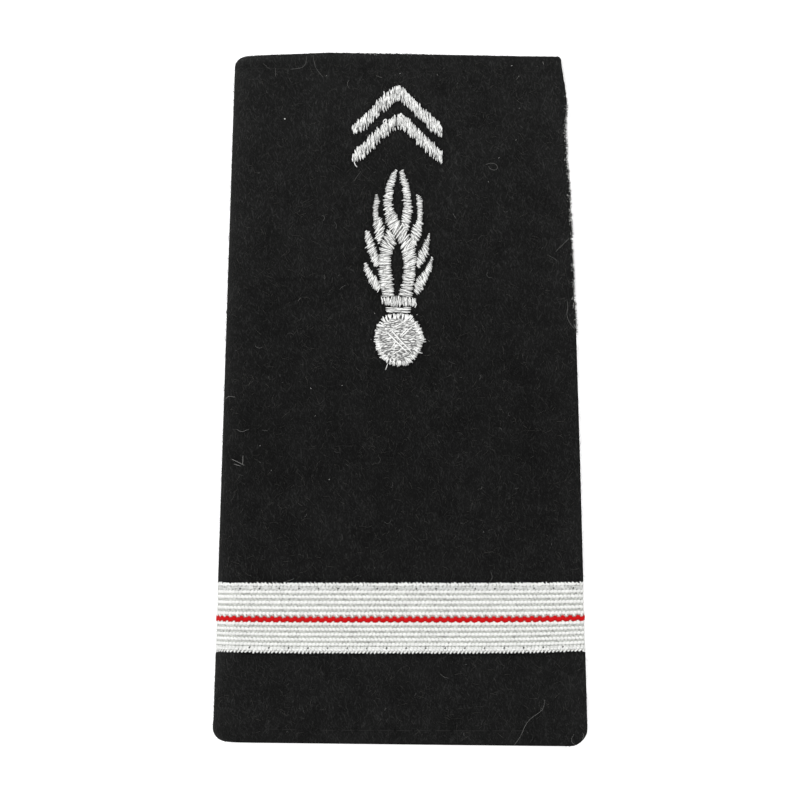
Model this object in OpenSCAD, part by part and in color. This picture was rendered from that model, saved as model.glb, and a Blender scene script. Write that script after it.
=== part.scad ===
// Shoulder board: a flat felt sleeve that slides over a shoulder strap, with rank stripe and badge.
// It lies on its back: +Z out of the front, +Y to the narrow collar end, X across.
// The origin is under the middle of the whole, on the surface that the back rests on.

/* [Sleeve] */
// Length from the wide shoulder end to the narrow collar end
sleeve_l = 98; // [80:0.5:120]
// Width at the wide shoulder end
wide_w = 53.1; // [46:0.1:62]
// Width at the narrow collar end
narrow_w = 47.1; // [40:0.1:56]
// How far the narrow end leans to the right
lean = 0.2; // [-1:0.05:1]
// Bow of the edge of the narrow end
end_bow = 0.55; // [0:0.05:2]
// How much further the wide end reaches at its right corner than at its left
end_slant = 0.6; // [0:0.05:2]
// Thickness of the wool felt
felt_t = 1.2; // [1:0.05:2]
// Height of the hollow that the shoulder strap slides through
hollow_h = 4.2; // [3:0.1:8]
// Rise of the front at the middle of its width
crown = 0.7; // [0:0.1:2.5]
// Depth of the fold down the left side
fold_d = 2.9; // [2.4:0.1:5]
// Outer radius of the turn-up of the back felt at the right side
turn_r = 2; // [1.9:0.1:3.4]
// How far the turned-up wall stands back under the right edge
wall_in = 0.3; // [0:0.05:1]
// Plan radius of the two folded corners on the left
folded_corner_r = 1.6; // [0.5:0.1:4]
// Plan radius of the right corner of the wide end
wide_corner_r = 2.5; // [0.5:0.1:5]
// Plan radius of the right corner of the narrow end
narrow_corner_r = 1.3; // [0.5:0.1:4]

/* [Stiffener] */
// Thickness of the white stiffener under the front felt
plate_t = 0.6; // [0.4:0.05:1.2]
// How far the raw felt edge stops short of the stiffener near the narrow end
raw_trim = 0.6; // [0:0.05:1.5]

/* [Braid] */
// Width of the white braid
braid_w = 10; // [6:0.1:16]
// Thickness of the braid
braid_t = 0.6; // [0.4:0.05:0.9]
// Distance from the wide end to the braid
braid_from_end = 13; // [6:0.1:30]
// How far each end of the braid is carried in on the back
braid_tuck = 6; // [5:0.1:12]
// Width of the red line woven along the middle of the braid
red_w = 0.85; // [0.5:0.05:2]

/* [Embroidery] */
// How far the embroidery stands above the felt
stitch_h = 0.7; // [0.3:0.05:1.2]
// Sideways place of the badge's middle, right of the sleeve's middle
badge_shift = -0.2; // [-2:0.05:2]
// Distance from the narrow end to the point of the upper chevron
chevron_from_end = 4.6; // [3:0.1:12]
// Distance between the ends of a chevron's two arms
chevron_w = 12.3; // [8:0.1:18]
// Fall of a chevron's arms from the point to the ends
chevron_fall = 5.6; // [3:0.1:8]
// Width of a chevron's arm, measured square to it
chevron_arm = 1.45; // [0.8:0.05:2.2]
// Distance from one chevron to the next
chevron_pitch = 3.95; // [3.2:0.05:6]
// Distance from the lower chevron's inner point to the tip of the flames
badge_drop = 5.9; // [2:0.1:10]
// Height of the flames
flame_h = 17.9; // [12:0.1:26]
// Width over all the flames
flame_w = 9.9; // [8:0.1:14]
// Width of the two main strands of flame
strand_w = 1.84; // [1.2:0.02:2]
// Width of the collar that the flames rise from
collar_w = 4.9; // [3:0.1:8]
// Height of the collar
collar_h = 1.25; // [0.6:0.05:2]
// Width of the neck between collar and ball
neck_w = 3.4; // [2:0.1:6]
// Height of the neck
neck_h = 0.7; // [0.4:0.05:1.5]
// Diameter of the ball
ball_d = 7.4; // [5:0.1:10]

/* [Hidden] */

// Clearance between two layers that lie on each other
lay_gap = 0.08;
// Clearance between two pieces of embroidery that end side by side
stitch_gap = 0.2;
// How far the felt is drawn in under the tight braid, so that the braid ends flush
press_in = braid_t + 2 * lay_gap;
// Length over which the felt comes back out beside the braid
press_run = 0.6;
// Steps across the front, round a fold and round the short turn-up
front_steps = 8;
fold_steps = 10;
turn_steps = 5;
// Steps over the dome of a piece of embroidery, and the share of its height that its side takes
dome_steps = 6;
side_share = 0.35;
// Share of the length over which the two ends bend to their bow and slant
end_share = 0.12;

// Levels through the sleeve at its sides
plate_bottom = felt_t + hollow_h;
front_bottom = plate_bottom + plate_t + lay_gap;
front_middle = front_bottom + felt_t / 2;
front_top = front_bottom + felt_t;

// The edge of the narrow end: place across from -1 to 1, fall as a share of end_bow
NARROW_EDGE = [[-1, 0.95], [-0.72, 0.5], [-0.43, 0], [-0.2, 0.15], [0.25, 0.5], [0.7, 0.85], [1, 1]];
// The raw right edge of the front felt: place along from 0 to 1, shortfall as a share of raw_trim
RAW_EDGE = [[0, 0], [0.6, 0], [0.7, 0.2], [0.76, 0.42], [0.82, 0.75], [0.86, 1], [0.95, 1.1],
    [0.97, 1.4], [1, 1.8]];

// The flames. Each row: fall below the tip as a share of flame_h, place across as a share of half
// flame_w, width as a share of strand_w.
CROSSING = [[0.01, -0.08, 0.25], [0.043, -0.154, 0.5], [0.085, -0.211, 0.6], [0.134, -0.269, 0.62],
    [0.213, -0.314, 0.68], [0.284, -0.323, 0.72], [0.34, -0.28, 0.82], [0.391, -0.203, 0.95],
    [0.442, -0.097, 1.07], [0.494, 0.023, 1.1], [0.545, 0.137, 1.07], [0.6, 0.226, 1.02],
    [0.656, 0.269, 0.98], [0.719, 0.297, 0.96], [0.79, 0.306, 0.97], [0.861, 0.283, 0.97],
    [0.928, 0.24, 1.02], [1, 0.183, 1.07]];
UPPER_RIGHT = [[0.012, 0.069, 0.35], [0.047, 0.083, 0.46], [0.091, 0.149, 0.55], [0.142, 0.197, 0.57],
    [0.205, 0.217, 0.63], [0.269, 0.246, 0.73], [0.324, 0.249, 0.72], [0.375, 0.225, 0.69],
    [0.411, 0.225, 0.5], [0.442, 0.25, 0.25]];
LOWER_LEFT = [[0.502, -0.274, 0.31], [0.537, -0.289, 0.7], [0.585, -0.337, 0.96], [0.64, -0.394, 0.94],
    [0.703, -0.429, 0.94], [0.774, -0.431, 0.93], [0.849, -0.394, 0.97], [0.92, -0.349, 1.01],
    [1, -0.309, 1.07]];
LEFT_TOP = [[0.205, -0.643, 0.19], [0.245, -0.631, 0.42], [0.3, -0.677, 0.45], [0.355, -0.671, 0.42],
    [0.403, -0.646, 0.54], [0.454, -0.583, 0.71], [0.502, -0.556, 0.7], [0.545, -0.57, 0.46],
    [0.58, -0.6, 0.18]];
LEFT_MIDDLE = [[0.494, -0.954, 0.19], [0.533, -0.931, 0.46], [0.577, -0.84, 0.54], [0.624, -0.777, 0.6],
    [0.671, -0.739, 0.58], [0.715, -0.703, 0.36], [0.75, -0.67, 0.17]];
LEFT_LOW = [[0.753, -0.957, 0.19], [0.786, -0.949, 0.46], [0.833, -0.857, 0.58], [0.877, -0.754, 0.74],
    [0.92, -0.691, 0.6], [0.956, -0.626, 0.23]];
RIGHT_TOP = [[0.205, 0.509, 0.19], [0.237, 0.583, 0.42], [0.284, 0.589, 0.5], [0.34, 0.583, 0.42],
    [0.391, 0.586, 0.46], [0.434, 0.569, 0.65], [0.486, 0.52, 0.72], [0.533, 0.495, 0.6],
    [0.573, 0.48, 0.23]];
RIGHT_MIDDLE = [[0.512, 0.863, 0.19], [0.557, 0.811, 0.42], [0.6, 0.754, 0.5], [0.648, 0.703, 0.62],
    [0.695, 0.654, 0.63], [0.735, 0.605, 0.5], [0.765, 0.58, 0.23]];
RIGHT_LOW = [[0.699, 0.94, 0.15], [0.75, 0.903, 0.35], [0.798, 0.84, 0.54], [0.845, 0.729, 0.6],
    [0.893, 0.657, 0.63], [0.94, 0.606, 0.55], [0.976, 0.586, 0.23]];
// A chevron. Each row: place across as a share of half chevron_w, fall as a share of chevron_fall,
// width as a share of chevron_arm.
CHEVRON = [[-1.03, 1, 0.95], [-0.5, 0.43, 1], [0, 0, 1], [0.5, 0.42, 1], [0.97, 0.94, 0.95]];
// The collar and the neck. Each row: place across as a share of half the width, fall as a share of
// the height, height as a share of the height.
COLLAR = [[-1, 0.44, 0.7], [-0.55, 0.48, 0.96], [0, 0.5, 1], [0.5, 0.5, 1], [1, 0.62, 0.76]];
NECK = [[-1, 0.52, 0.76], [-0.5, 0.5, 0.96], [0, 0.5, 1], [0.5, 0.5, 0.96], [1, 0.52, 0.76]];

// Places along the sleeve
braid_y = -sleeve_l / 2 + braid_from_end + braid_w / 2;
arm_lean = atan2(chevron_fall, chevron_w / 2);
chevron_half = chevron_arm / cos(arm_lean) / 2;
upper_point = sleeve_l / 2 - chevron_from_end - chevron_half;
lower_point = upper_point - chevron_pitch;
flame_tip = lower_point - chevron_half - badge_drop;
collar_top = flame_tip - flame_h - stitch_gap;
neck_top = collar_top - collar_h - stitch_gap;
ball_y = neck_top - neck_h - stitch_gap - ball_d / 2;

// Straight plan of the sleeve: how far along a point is, and where the two sides are there
function along(y) = y / sleeve_l + 0.5;
function mid_x(y) = lean * along(y);
function half_w(y) = (wide_w + (narrow_w - wide_w) * along(y)) / 2;
function across(x, y) = max(-1, min(1, (x - mid_x(y)) / half_w(y)));

// The ends are bowed and slanted: where a point of the straight plan really lies along Y
function end_blend(s) = max(0, 1 - s / end_share);
function bent_y(x, y) = y
    - end_bow * lookup(across(x, y), NARROW_EDGE) * end_blend(1 - along(y))
    + end_slant * (1 - across(x, y)) / 2 * end_blend(along(y));

// Side inset of a rounded plan corner, d in from the end
function corner(d, r) = d >= r ? 0 : r - sqrt(r * r - (r - d) * (r - d));
function left_edge(y) = mid_x(y) - half_w(y) + corner(sleeve_l / 2 - abs(y), folded_corner_r);
function right_edge(y) = mid_x(y) + half_w(y)
    - corner(y + sleeve_l / 2, wide_corner_r) - corner(sleeve_l / 2 - y, narrow_corner_r);
function raw_edge(y) = right_edge(y) - press(y) - raw_trim * lookup(along(y), RAW_EDGE);

// How far the felt is drawn in at a place along, and the rise of the crowned front
function press(y) = press_in * max(0, min(1, 1 + (braid_w / 2 - abs(y - braid_y)) / press_run));
function rise(x, y) = crown * (1 - pow(across(x, y), 2));
function felt_top(x, y) = front_top + rise(x, y);

// Plane curves through [x, z] or [x, y] points, and the curve beside one at a distance, mitred
function unit(v) = v / norm(v);
function step_in(path, i) = unit(path[max(i, 1)] - path[max(i, 1) - 1]);
function step_out(path, i) = unit(path[min(i, len(path) - 2) + 1] - path[min(i, len(path) - 2)]);
function side_of(path, i) =
    let (d = unit(step_in(path, i) + step_out(path, i)), m = max(0.5, d * step_out(path, i)))
    [-d.y, d.x] / m;
function beside(path, t) = [for (i = [0:len(path) - 1]) path[i] + t * side_of(path, i)];
function arc_points(c, rx, rz, from, to, n) =
    [for (i = [0:n]) let (a = from + (to - from) * i / n) [c.x + rx * cos(a), c.y + rz * sin(a)]];
function backwards(list) = [for (i = [len(list) - 1:-1:0]) list[i]];

// Where the fold's and the turn-up's arcs are centred at a place along
function fold_x(y) = left_edge(y) + fold_d + press(y);
function turn_x(y) = right_edge(y) - wall_in - turn_r - press(y);
function fold_z(y) = (front_middle + rise(fold_x(y), y) + felt_t / 2 + press(y)) / 2;
function fold_half(y) = (front_middle + rise(fold_x(y), y) - felt_t / 2 - press(y)) / 2;

// Middle of the felt's wall at a place along: over the front, round the left fold, over the back
// and up under the right edge
function felt_path(y) =
    let (
        raw = raw_edge(y), fx = fold_x(y), tx = turn_x(y), p = press(y), r = turn_r - felt_t / 2,
        in_l = fx + braid_tuck - fold_d + press_run, in_r = tx - braid_tuck + turn_r - press_run
    )
    concat(
        [for (i = [0:front_steps - 1]) let (x = raw + (fx - raw) * i / front_steps)
            [x, front_middle + rise(x, y)]],
        arc_points([fx, fold_z(y)], fold_d - felt_t / 2, fold_half(y), 90, 270, fold_steps),
        [[in_l, felt_t / 2 + p], [in_l + press_run, felt_t / 2],
            [in_r - press_run, felt_t / 2], [in_r, felt_t / 2 + p]],
        arc_points([tx, felt_t / 2 + p + r], r, r, -90, 0, turn_steps),
        [[tx + r, plate_bottom + rise(tx + r, y) - lay_gap]]
    );

// Inner face of the braid at a place along, from the right end on the back to the left end
function braid_path(y) =
    let (
        fx = fold_x(y), tx = turn_x(y), side = right_edge(y) - braid_t - lay_gap,
        low = braid_t + lay_gap, grow = felt_t / 2 + lay_gap, r = turn_r + lay_gap,
        bend = lay_gap, top = front_top + rise(side, y) + lay_gap
    )
    concat(
        [[tx - braid_tuck + turn_r, low]],
        arc_points([tx, low + r], side - tx, r, -90, 0, turn_steps),
        arc_points([side - bend, top - bend], bend, bend, 0, 90, 2),
        [for (i = [1:front_steps - 1]) let (x = side + (fx - side) * i / front_steps)
            [x, front_top + rise(x, y) + lay_gap]],
        arc_points([fx, fold_z(y)], fold_d - felt_t / 2 + grow, fold_half(y) + grow,
            90, 270, fold_steps),
        [[fx + braid_tuck - fold_d, low]]
    );

// Underside and upper side of the stiffener at a place along
function plate_path(y, level) =
    let (from = right_edge(y) - press(y), to = fold_x(y))
    [for (i = [0:front_steps]) let (x = from + (to - from) * i / front_steps)
        [x, level + rise(x, y)]];

// Places along in rising order, without two that nearly meet
function rising(v) = len(v) < 2 ? v :
    let (m = v[0], rest = [for (i = [1:len(v) - 1]) v[i]])
    concat(rising([for (a = rest) if (a < m) a]), [m], rising([for (a = rest) if (a >= m) a]));
function spaced(v, least) = [for (i = [0:len(v) - 1]) if (i == 0 || v[i] - v[i - 1] > least) v[i]];
function corner_places(r) = [for (a = [0:22.5:90]) r * (1 - cos(a))];
sleeve_places = spaced(rising(concat(
    [for (d = corner_places(wide_corner_r)) -sleeve_l / 2 + d],
    [for (d = corner_places(folded_corner_r)) sleeve_l / 2 - d],
    [for (e = [-1, 1], d = [0, press_run]) braid_y + e * (braid_w / 2 + d)],
    [for (row = RAW_EDGE) if (row[0] > 0.5 && row[0] < 0.98) (row[0] - 0.5) * sleeve_l],
    [for (s = [end_share, 0.24, 0.38, 0.5, 1 - end_share]) (s - 0.5) * sleeve_l]
)), 0.02);

// A wall swept along Y through sections of one outer and one inner curve each, closed at both ends
module swept_wall(places, outer, inner) {
    n = len(outer[0]);
    rings = [for (k = [0:len(places) - 1]) concat(outer[k], backwards(inner[k]))];
    points = [for (k = [0:len(places) - 1]) for (p = rings[k])
        [p.x, bent_y(p.x, places[k]), p.y]];
    last = (len(places) - 1) * 2 * n;
    polyhedron(points, concat(
        [for (k = [0:len(places) - 2]) for (i = [0:2 * n - 1])
            let (j = (i + 1) % (2 * n), a = k * 2 * n, b = a + 2 * n)
            each [[a + i, b + i, b + j], [a + i, b + j, a + j]]],
        [for (i = [0:n - 2]) each [[i, i + 1, 2 * n - 2 - i], [i, 2 * n - 2 - i, 2 * n - 1 - i]]],
        [for (i = [0:n - 2]) each [
            [last + i, last + 2 * n - 2 - i, last + i + 1],
            [last + i, last + 2 * n - 1 - i, last + 2 * n - 2 - i]]]
    ));
}

// The felt: one piece, folded round the left side and turned up under the right edge
module felt_sleeve() {
    color([0.12, 0.12, 0.13])
        swept_wall(sleeve_places,
            [for (y = sleeve_places) beside(felt_path(y), -felt_t / 2)],
            [for (y = sleeve_places) beside(felt_path(y), felt_t / 2)]);
}

// The stiffener: a thin white plate against the underside of the front felt
module stiffener() {
    color([0.95, 0.95, 0.94])
        swept_wall(sleeve_places,
            [for (y = sleeve_places) plate_path(y, plate_bottom + plate_t)],
            [for (y = sleeve_places) plate_path(y, plate_bottom)]);
}

// Sections over the braid's width: place across it and thickness there, with a groove for the line
groove_half = red_w / 2 + lay_gap;
groove_t = braid_t * 0.5;
edge_run = braid_w * 0.03;
BRAID_SECTION = [[-braid_w / 2, braid_t * 0.6], [-braid_w / 2 + edge_run, braid_t],
    [-groove_half - lay_gap, braid_t], [-groove_half, groove_t], [groove_half, groove_t],
    [groove_half + lay_gap, braid_t], [braid_w / 2 - edge_run, braid_t], [braid_w / 2, braid_t * 0.6]];

// The braid: a flat woven band over the front, round both sides and a little way in on the back
module braid() {
    color([0.93, 0.93, 0.92])
        swept_wall([for (row = BRAID_SECTION) braid_y + row[0]],
            [for (row = BRAID_SECTION) beside(braid_path(braid_y + row[0]), -row[1])],
            [for (row = BRAID_SECTION) braid_path(braid_y + row[0])]);
}

// Sections over the red line's width: place across it and height above the groove's floor
red_floor = groove_t + lay_gap;
RED_SECTION = [[-red_w / 2, 0.7], [-red_w / 4, 1], [red_w / 4, 1], [red_w / 2, 0.7]];

// The red line: a thick thread in the groove along the middle of the braid
module red_line() {
    color([0.82, 0.1, 0.12])
        swept_wall([for (row = RED_SECTION) braid_y + row[0]],
            [for (row = RED_SECTION) beside(braid_path(braid_y),
                -red_floor - (braid_t - red_floor) * row[1])],
            [for (row = RED_SECTION) beside(braid_path(braid_y), -red_floor)]);
}

// A band of satin stitch on the front: rows of [x, y, width], its top domed over a short side
module satin_band(rows) {
    middle = [for (row = rows) [row[0], row[1]]];
    ring_n = dome_steps + 3;
    points = [for (i = [0:len(rows) - 1])
        let (s = side_of(middle, i) * rows[i][2] / 2)
        for (k = [-1:dome_steps + 1])
            let (
                a = 180 * max(0, min(dome_steps, k)) / dome_steps, p = middle[i] + s * cos(a),
                up = k < 0 || k > dome_steps ? 0 : side_share + (1 - side_share) * sin(a)
            )
            [p.x, p.y, felt_top(p.x, p.y) + lay_gap + stitch_h * up]];
    last = (len(rows) - 1) * ring_n;
    color([0.8, 0.81, 0.8])
        polyhedron(points, concat(
            [for (i = [0:len(rows) - 2]) for (k = [0:ring_n - 1])
                let (a = i * ring_n + k, b = i * ring_n + (k + 1) % ring_n)
                each [[a, b, b + ring_n], [a, b + ring_n, a + ring_n]]],
            [for (k = [1:ring_n - 2]) [0, k + 1, k]],
            [for (k = [1:ring_n - 2]) [last, last + k, last + k + 1]]
        ));
}

// A chevron with its point at the height given
module chevron(point_y) {
    satin_band([for (row = CHEVRON)
        [badge_shift + row[0] * chevron_w / 2, point_y - row[1] * chevron_fall,
            row[2] * chevron_arm]]);
}

// A flame from one of the tables above
module flame(table) {
    satin_band([for (row = table)
        [badge_shift + row[1] * flame_w / 2, flame_tip - row[0] * flame_h, row[2] * strand_w]]);
}

// A band that runs across the badge, its top edge at the height given
module cross_band(table, top_y, w, h) {
    satin_band([for (row = table) [badge_shift + row[0] * w / 2, top_y - row[1] * h, row[2] * h]]);
}

module upper_chevron() { chevron(upper_point); }
module lower_chevron() { chevron(lower_point); }
module flame_crossing() { flame(CROSSING); }
module flame_upper_right() { flame(UPPER_RIGHT); }
module flame_lower_left() { flame(LOWER_LEFT); }
module flame_left_top() { flame(LEFT_TOP); }
module flame_left_middle() { flame(LEFT_MIDDLE); }
module flame_left_low() { flame(LEFT_LOW); }
module flame_right_top() { flame(RIGHT_TOP); }
module flame_right_middle() { flame(RIGHT_MIDDLE); }
module flame_right_low() { flame(RIGHT_LOW); }
module grenade_collar() { cross_band(COLLAR, collar_top, collar_w, collar_h); }
module grenade_neck() { cross_band(NECK, neck_top, neck_w, neck_h); }

// The ball: a low dome of stitches over a short side
module grenade_ball() {
    base = felt_top(badge_shift, ball_y) + lay_gap;
    side = stitch_h * side_share;
    dome = stitch_h * 1.2 - side;
    cap_r = (pow(ball_d / 2, 2) + dome * dome) / (2 * dome);
    color([0.8, 0.81, 0.8])
        translate([badge_shift, ball_y, base])
        intersection() {
            cylinder(d = ball_d, h = side + dome, $fn = 64);
            translate([0, 0, side + dome - cap_r]) sphere(r = cap_r, $fn = 96);
        }
}

felt_sleeve();
stiffener();
braid();
red_line();
upper_chevron();
lower_chevron();
flame_crossing();
flame_upper_right();
flame_lower_left();
flame_left_top();
flame_left_middle();
flame_left_low();
flame_right_top();
flame_right_middle();
flame_right_low();
grenade_collar();
grenade_neck();
grenade_ball();
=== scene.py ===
import math

import bpy
import numpy as np
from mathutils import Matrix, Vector, noise


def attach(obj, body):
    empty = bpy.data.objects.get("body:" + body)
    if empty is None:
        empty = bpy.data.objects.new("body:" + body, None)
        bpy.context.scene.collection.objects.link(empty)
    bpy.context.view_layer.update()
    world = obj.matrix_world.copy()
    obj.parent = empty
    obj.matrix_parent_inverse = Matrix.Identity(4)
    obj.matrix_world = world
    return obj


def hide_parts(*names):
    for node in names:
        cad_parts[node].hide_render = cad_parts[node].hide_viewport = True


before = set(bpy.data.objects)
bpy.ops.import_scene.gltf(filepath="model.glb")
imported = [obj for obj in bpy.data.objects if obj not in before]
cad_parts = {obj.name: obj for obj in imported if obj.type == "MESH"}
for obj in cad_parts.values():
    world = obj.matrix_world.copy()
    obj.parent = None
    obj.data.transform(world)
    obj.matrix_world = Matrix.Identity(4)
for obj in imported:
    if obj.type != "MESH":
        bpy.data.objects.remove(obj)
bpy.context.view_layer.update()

# Floor, light and camera.
# The board lies on a plain white table and is seen from straight above, as in a catalogue picture.
# The light is a bright even sky with one broad soft lamp from the upper left.
MM = 0.001
FRONT_LEVEL = 7.3  # mm above the table, the level that the picture's scale belongs to
PICTURE_W = 113.13  # mm across the square picture at that level
CAMERA_H, SENSOR = 2.0, 36.0  # m above the table, mm
PICTURE_MIDDLE = (0.0, -0.056)  # mm
SKY = 0.95
LAMP, LAMP_SIZE, LAMP_AT = 3.2, 0.5, (-0.45, 0.55, 0.75)  # W, m, m
TABLE_HALF, TABLE_Z = 3.0, -0.0001  # m
TABLE_GLOW = 0.5  # the table glows towards the camera, so that hardly a shadow shows


def feed(tree, node, feeds):
    """Feeds a node's sockets from other nodes or sockets, or sets them to plain values."""
    for key, value in feeds.items():
        socket = node.inputs[key]
        for one in value if isinstance(value, list) else [value]:
            if isinstance(one, bpy.types.Node):
                one = next(out for out in one.outputs if out.enabled)
            if isinstance(one, bpy.types.NodeSocket):
                tree.links.new(one, socket)
            elif socket.type == "RGBA" and len(one) == 3:
                socket.default_value = (*one, 1)
            else:
                socket.default_value = one


def put(tree, kind, feeds=None, **settings):
    """A node of a kind, named without its family, with its settings and its sockets fed."""
    families = ("ShaderNode", "GeometryNode", "FunctionNode")
    made = tree.nodes.new(next(f + kind for f in families if hasattr(bpy.types, f + kind)))
    for name, value in settings.items():
        setattr(made, name, value)
    feed(tree, made, feeds or {})
    return made


def calc(tree, operation, *values):
    """A math node on its values, in the order of its sockets."""
    return put(tree, "Math", dict(enumerate(values)), operation=operation)


def noise_at(tree, place, scale, detail=2.0, **more):
    return put(tree, "TexNoise", {"Vector": place, "Scale": scale, "Detail": detail, **more})


def new_material(name, colour, roughness, **sockets):
    """A material, its node tree and its shader. Other socket names are given with underscores."""
    material = bpy.data.materials.new(name)
    material.use_nodes = True
    shader = material.node_tree.nodes["Principled BSDF"]
    feed(None, shader, {"Base Color": colour, "Roughness": roughness})
    feed(None, shader, {key.replace("_", " "): value for key, value in sockets.items()})
    return material, material.node_tree, shader


table_top, tree, shader = new_material("white table", (0.93, 0.93, 0.93), 0.9, Emission_Color=(1, 1, 1))
seen = put(tree, "LightPath").outputs["Is Camera Ray"]
grain = noise_at(tree, put(tree, "TexCoord").outputs["Object"], 40.0)
feed(tree, shader, {"Emission Strength": calc(tree, "MULTIPLY", seen, TABLE_GLOW),
                    "Normal": put(tree, "Bump", {"Strength": 0.02, "Height": grain})})
table_mesh = bpy.data.meshes.new("table")
corners = [(x * TABLE_HALF, y * TABLE_HALF, TABLE_Z) for x, y in ((-1, -1), (1, -1), (1, 1), (-1, 1))]
table_mesh.from_pydata(corners, [], [(0, 1, 2, 3)])
table_mesh.materials.append(table_top)
table = bpy.data.objects.new("table", table_mesh)
bpy.context.scene.collection.objects.link(table)

sky = bpy.data.worlds.new("sky")
sky.use_nodes = True
feed(None, sky.node_tree.nodes["Background"], {"Color": (1, 1, 1), "Strength": SKY})
bpy.context.scene.world = sky
bpy.context.scene.view_settings.view_transform = "Standard"

lamp_data = bpy.data.lights.new("lamp", "AREA")
lamp_data.energy, lamp_data.size = LAMP, LAMP_SIZE
lamp = bpy.data.objects.new("lamp", lamp_data)
lamp.location = LAMP_AT
lamp.rotation_euler = (-lamp.location).to_track_quat("-Z", "Y").to_euler()
lamp.visible_camera = False
bpy.context.scene.collection.objects.link(lamp)

camera_data = bpy.data.cameras.new("camera")
camera_data.sensor_width = SENSOR
camera_data.lens = SENSOR * (CAMERA_H - FRONT_LEVEL * MM) / (PICTURE_W * MM)
camera_data.clip_end = 20.0
camera = bpy.data.objects.new("camera", camera_data)
camera.location = (PICTURE_MIDDLE[0] * MM, PICTURE_MIDDLE[1] * MM, CAMERA_H)
bpy.context.scene.collection.objects.link(camera)
bpy.context.scene.camera = camera

# Felt sleeve.
# One piece of black wool felt: across the front, folded round the left side, over the back and
# turned up under the right edge, so that a shoulder strap slides through it. The right edge of the
# front is cut raw. The felt is drawn in under the tight braid.
SLEEVE_L, WIDE_W, NARROW_W, LEAN = 98.0, 53.1, 47.1, 0.2
END_BOW, END_SLANT, END_SHARE = 0.55, 0.6, 0.12
FELT_T, HOLLOW_H, CROWN = 1.2, 4.2, 0.7
FOLD_D, TURN_R, WALL_IN = 2.9, 2.0, 0.3
WIDE_CORNER_R, NARROW_CORNER_R, RAW_CORNER_R = 2.6, 1.3, 0.4
FOLDED_WIDE_R, FOLDED_NARROW_R = 2.1, 1.5
PLATE_T, LAY_GAP = 0.6, 0.08
BRAID_W, BRAID_TUCK = 10.0, 6.0
BRAID_Y = -SLEEVE_L / 2 + 13 + BRAID_W / 2
PRESS_IN, PRESS_RUN = 0.43, 0.1
# Stretch that the braid presses in, as distances from its middle, at the left and the right side
PRESSED = {-1: (-4.7, 5.02), 1: (-4.6, 5.12)}
PLATE_BOTTOM = FELT_T + HOLLOW_H
FRONT_BOTTOM = PLATE_BOTTOM + PLATE_T + LAY_GAP
FRONT_MIDDLE = FRONT_BOTTOM + FELT_T / 2
FRONT_TOP = FRONT_BOTTOM + FELT_T
# Rows of lockstitch that close the hems: places in mm, from left to right
STITCH_ROWS = [[(-24, 46.9), (-16, 46.8), (-7, 46.45), (22.5, 46.35)],
               [(-26, -46.4), (-12, -46.75), (0, -46.8), (26, -46.85)]]
# Needle holes of each row: place of the first one across, step and count
HOLES = [(-21.8, 2.8, 16), (-22.3, 2.7, 16)]
HOLE_DEPTH, HOLE_R, ROW_DEPTH, ROW_R = 0.32, 0.3, 0.11, 0.5  # mm
# Edge of the narrow end: place across from -1 to 1, fall as a share of END_BOW
NARROW_EDGE = [(-1, 0.88), (-0.72, 0.42), (-0.43, -0.05), (-0.2, 0.15), (0.25, 0.5), (0.7, 0.85), (1, 1)]
# Raw right edge of the front: place along and shortfall from the straight edge, in mm
RAW_EDGE = [(-49, -0.05), (-25, -0.06), (-8, -0.09), (10, -0.05), (13.7, 0.06), (15.4, 0.14), (17, 0.08),
            (18.8, 0.16), (20.4, 0.19), (22.1, 0.27), (23.8, 0.21), (25.5, 0.3), (27.2, 0.3), (28.9, 0.35),
            (30.6, 0.34), (32.3, 0.46), (34, 0.67), (35.7, 0.67), (37.4, 0.69), (39.1, 0.69), (40.8, 0.5),
            (42.5, 0.34), (44.2, 0.48), (45.9, 0.7), (47.6, 0.92), (49, 1.03)]
# How torn that edge is: place along in mm, share
TORN = [(9.5, 0), (16, 1), (42, 1), (44, 0.3)]
TEAR = 0.19  # mm, how far its torn stretch wanders
WAVE, FINE_WAVE = 0.09, 0.035  # mm, unevenness of the front's face
CUT_R = 0.4  # mm, rounding of the cut edges
FLUFFY = (-6, 3.5)  # mm, the stretch of the narrow end's edge that is fluffy
END_RUN = 0.6  # mm, how far in from the two ends their edges are worn
WIDE_OUT, FOLD_OUT, FOLD_OUT_FROM = 0.07, 0.06, -45.9  # mm, how the wide end and its fold stand out


def lookup(x, table):
    return np.interp(x, [row[0] for row in table], [row[1] for row in table])


def along(y):
    return y / SLEEVE_L + 0.5


def half_width(y):
    return (WIDE_W + (NARROW_W - WIDE_W) * along(y)) / 2


def across(x, y):
    return np.clip((x - LEAN * along(y)) / half_width(y), -1, 1)


def bent_y(x, y):
    """Where a point of the straight plan lies along Y, with the ends bowed and slanted."""
    low, high = (np.maximum(0, 1 - s / END_SHARE) for s in (along(y), 1 - along(y)))
    return (y - END_BOW * lookup(across(x, y), NARROW_EDGE) * high
            + END_SLANT * (1 - across(x, y)) / 2 * low)


def fluffy(x):
    """How fluffy the narrow end's edge is at a place across."""
    return 1.0 if FLUFFY[0] < x < FLUFFY[1] else 0.3


def corner(d, r):
    return 0.0 if d >= r else r - math.sqrt(max(0.0, r * r - (r - d) ** 2))


def edges(y):
    """The two straight sides of the plan at a place along, with their rounded corners."""
    middle, half = LEAN * along(y), half_width(y)
    left = middle - half + corner(SLEEVE_L / 2 - abs(y), FOLDED_WIDE_R if y < 0 else FOLDED_NARROW_R)
    right = middle + half - corner(y + SLEEVE_L / 2, WIDE_CORNER_R) \
        - corner(SLEEVE_L / 2 - y, NARROW_CORNER_R)
    return left, right


def press(y, side):
    """How far the braid draws the felt in at a place along, at the left (-1) or the right side (1)."""
    low, high = PRESSED[side]
    return PRESS_IN * min(1.0, max(0.0, 1 + min(y - BRAID_Y - low, high - y + BRAID_Y) / PRESS_RUN))


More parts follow.
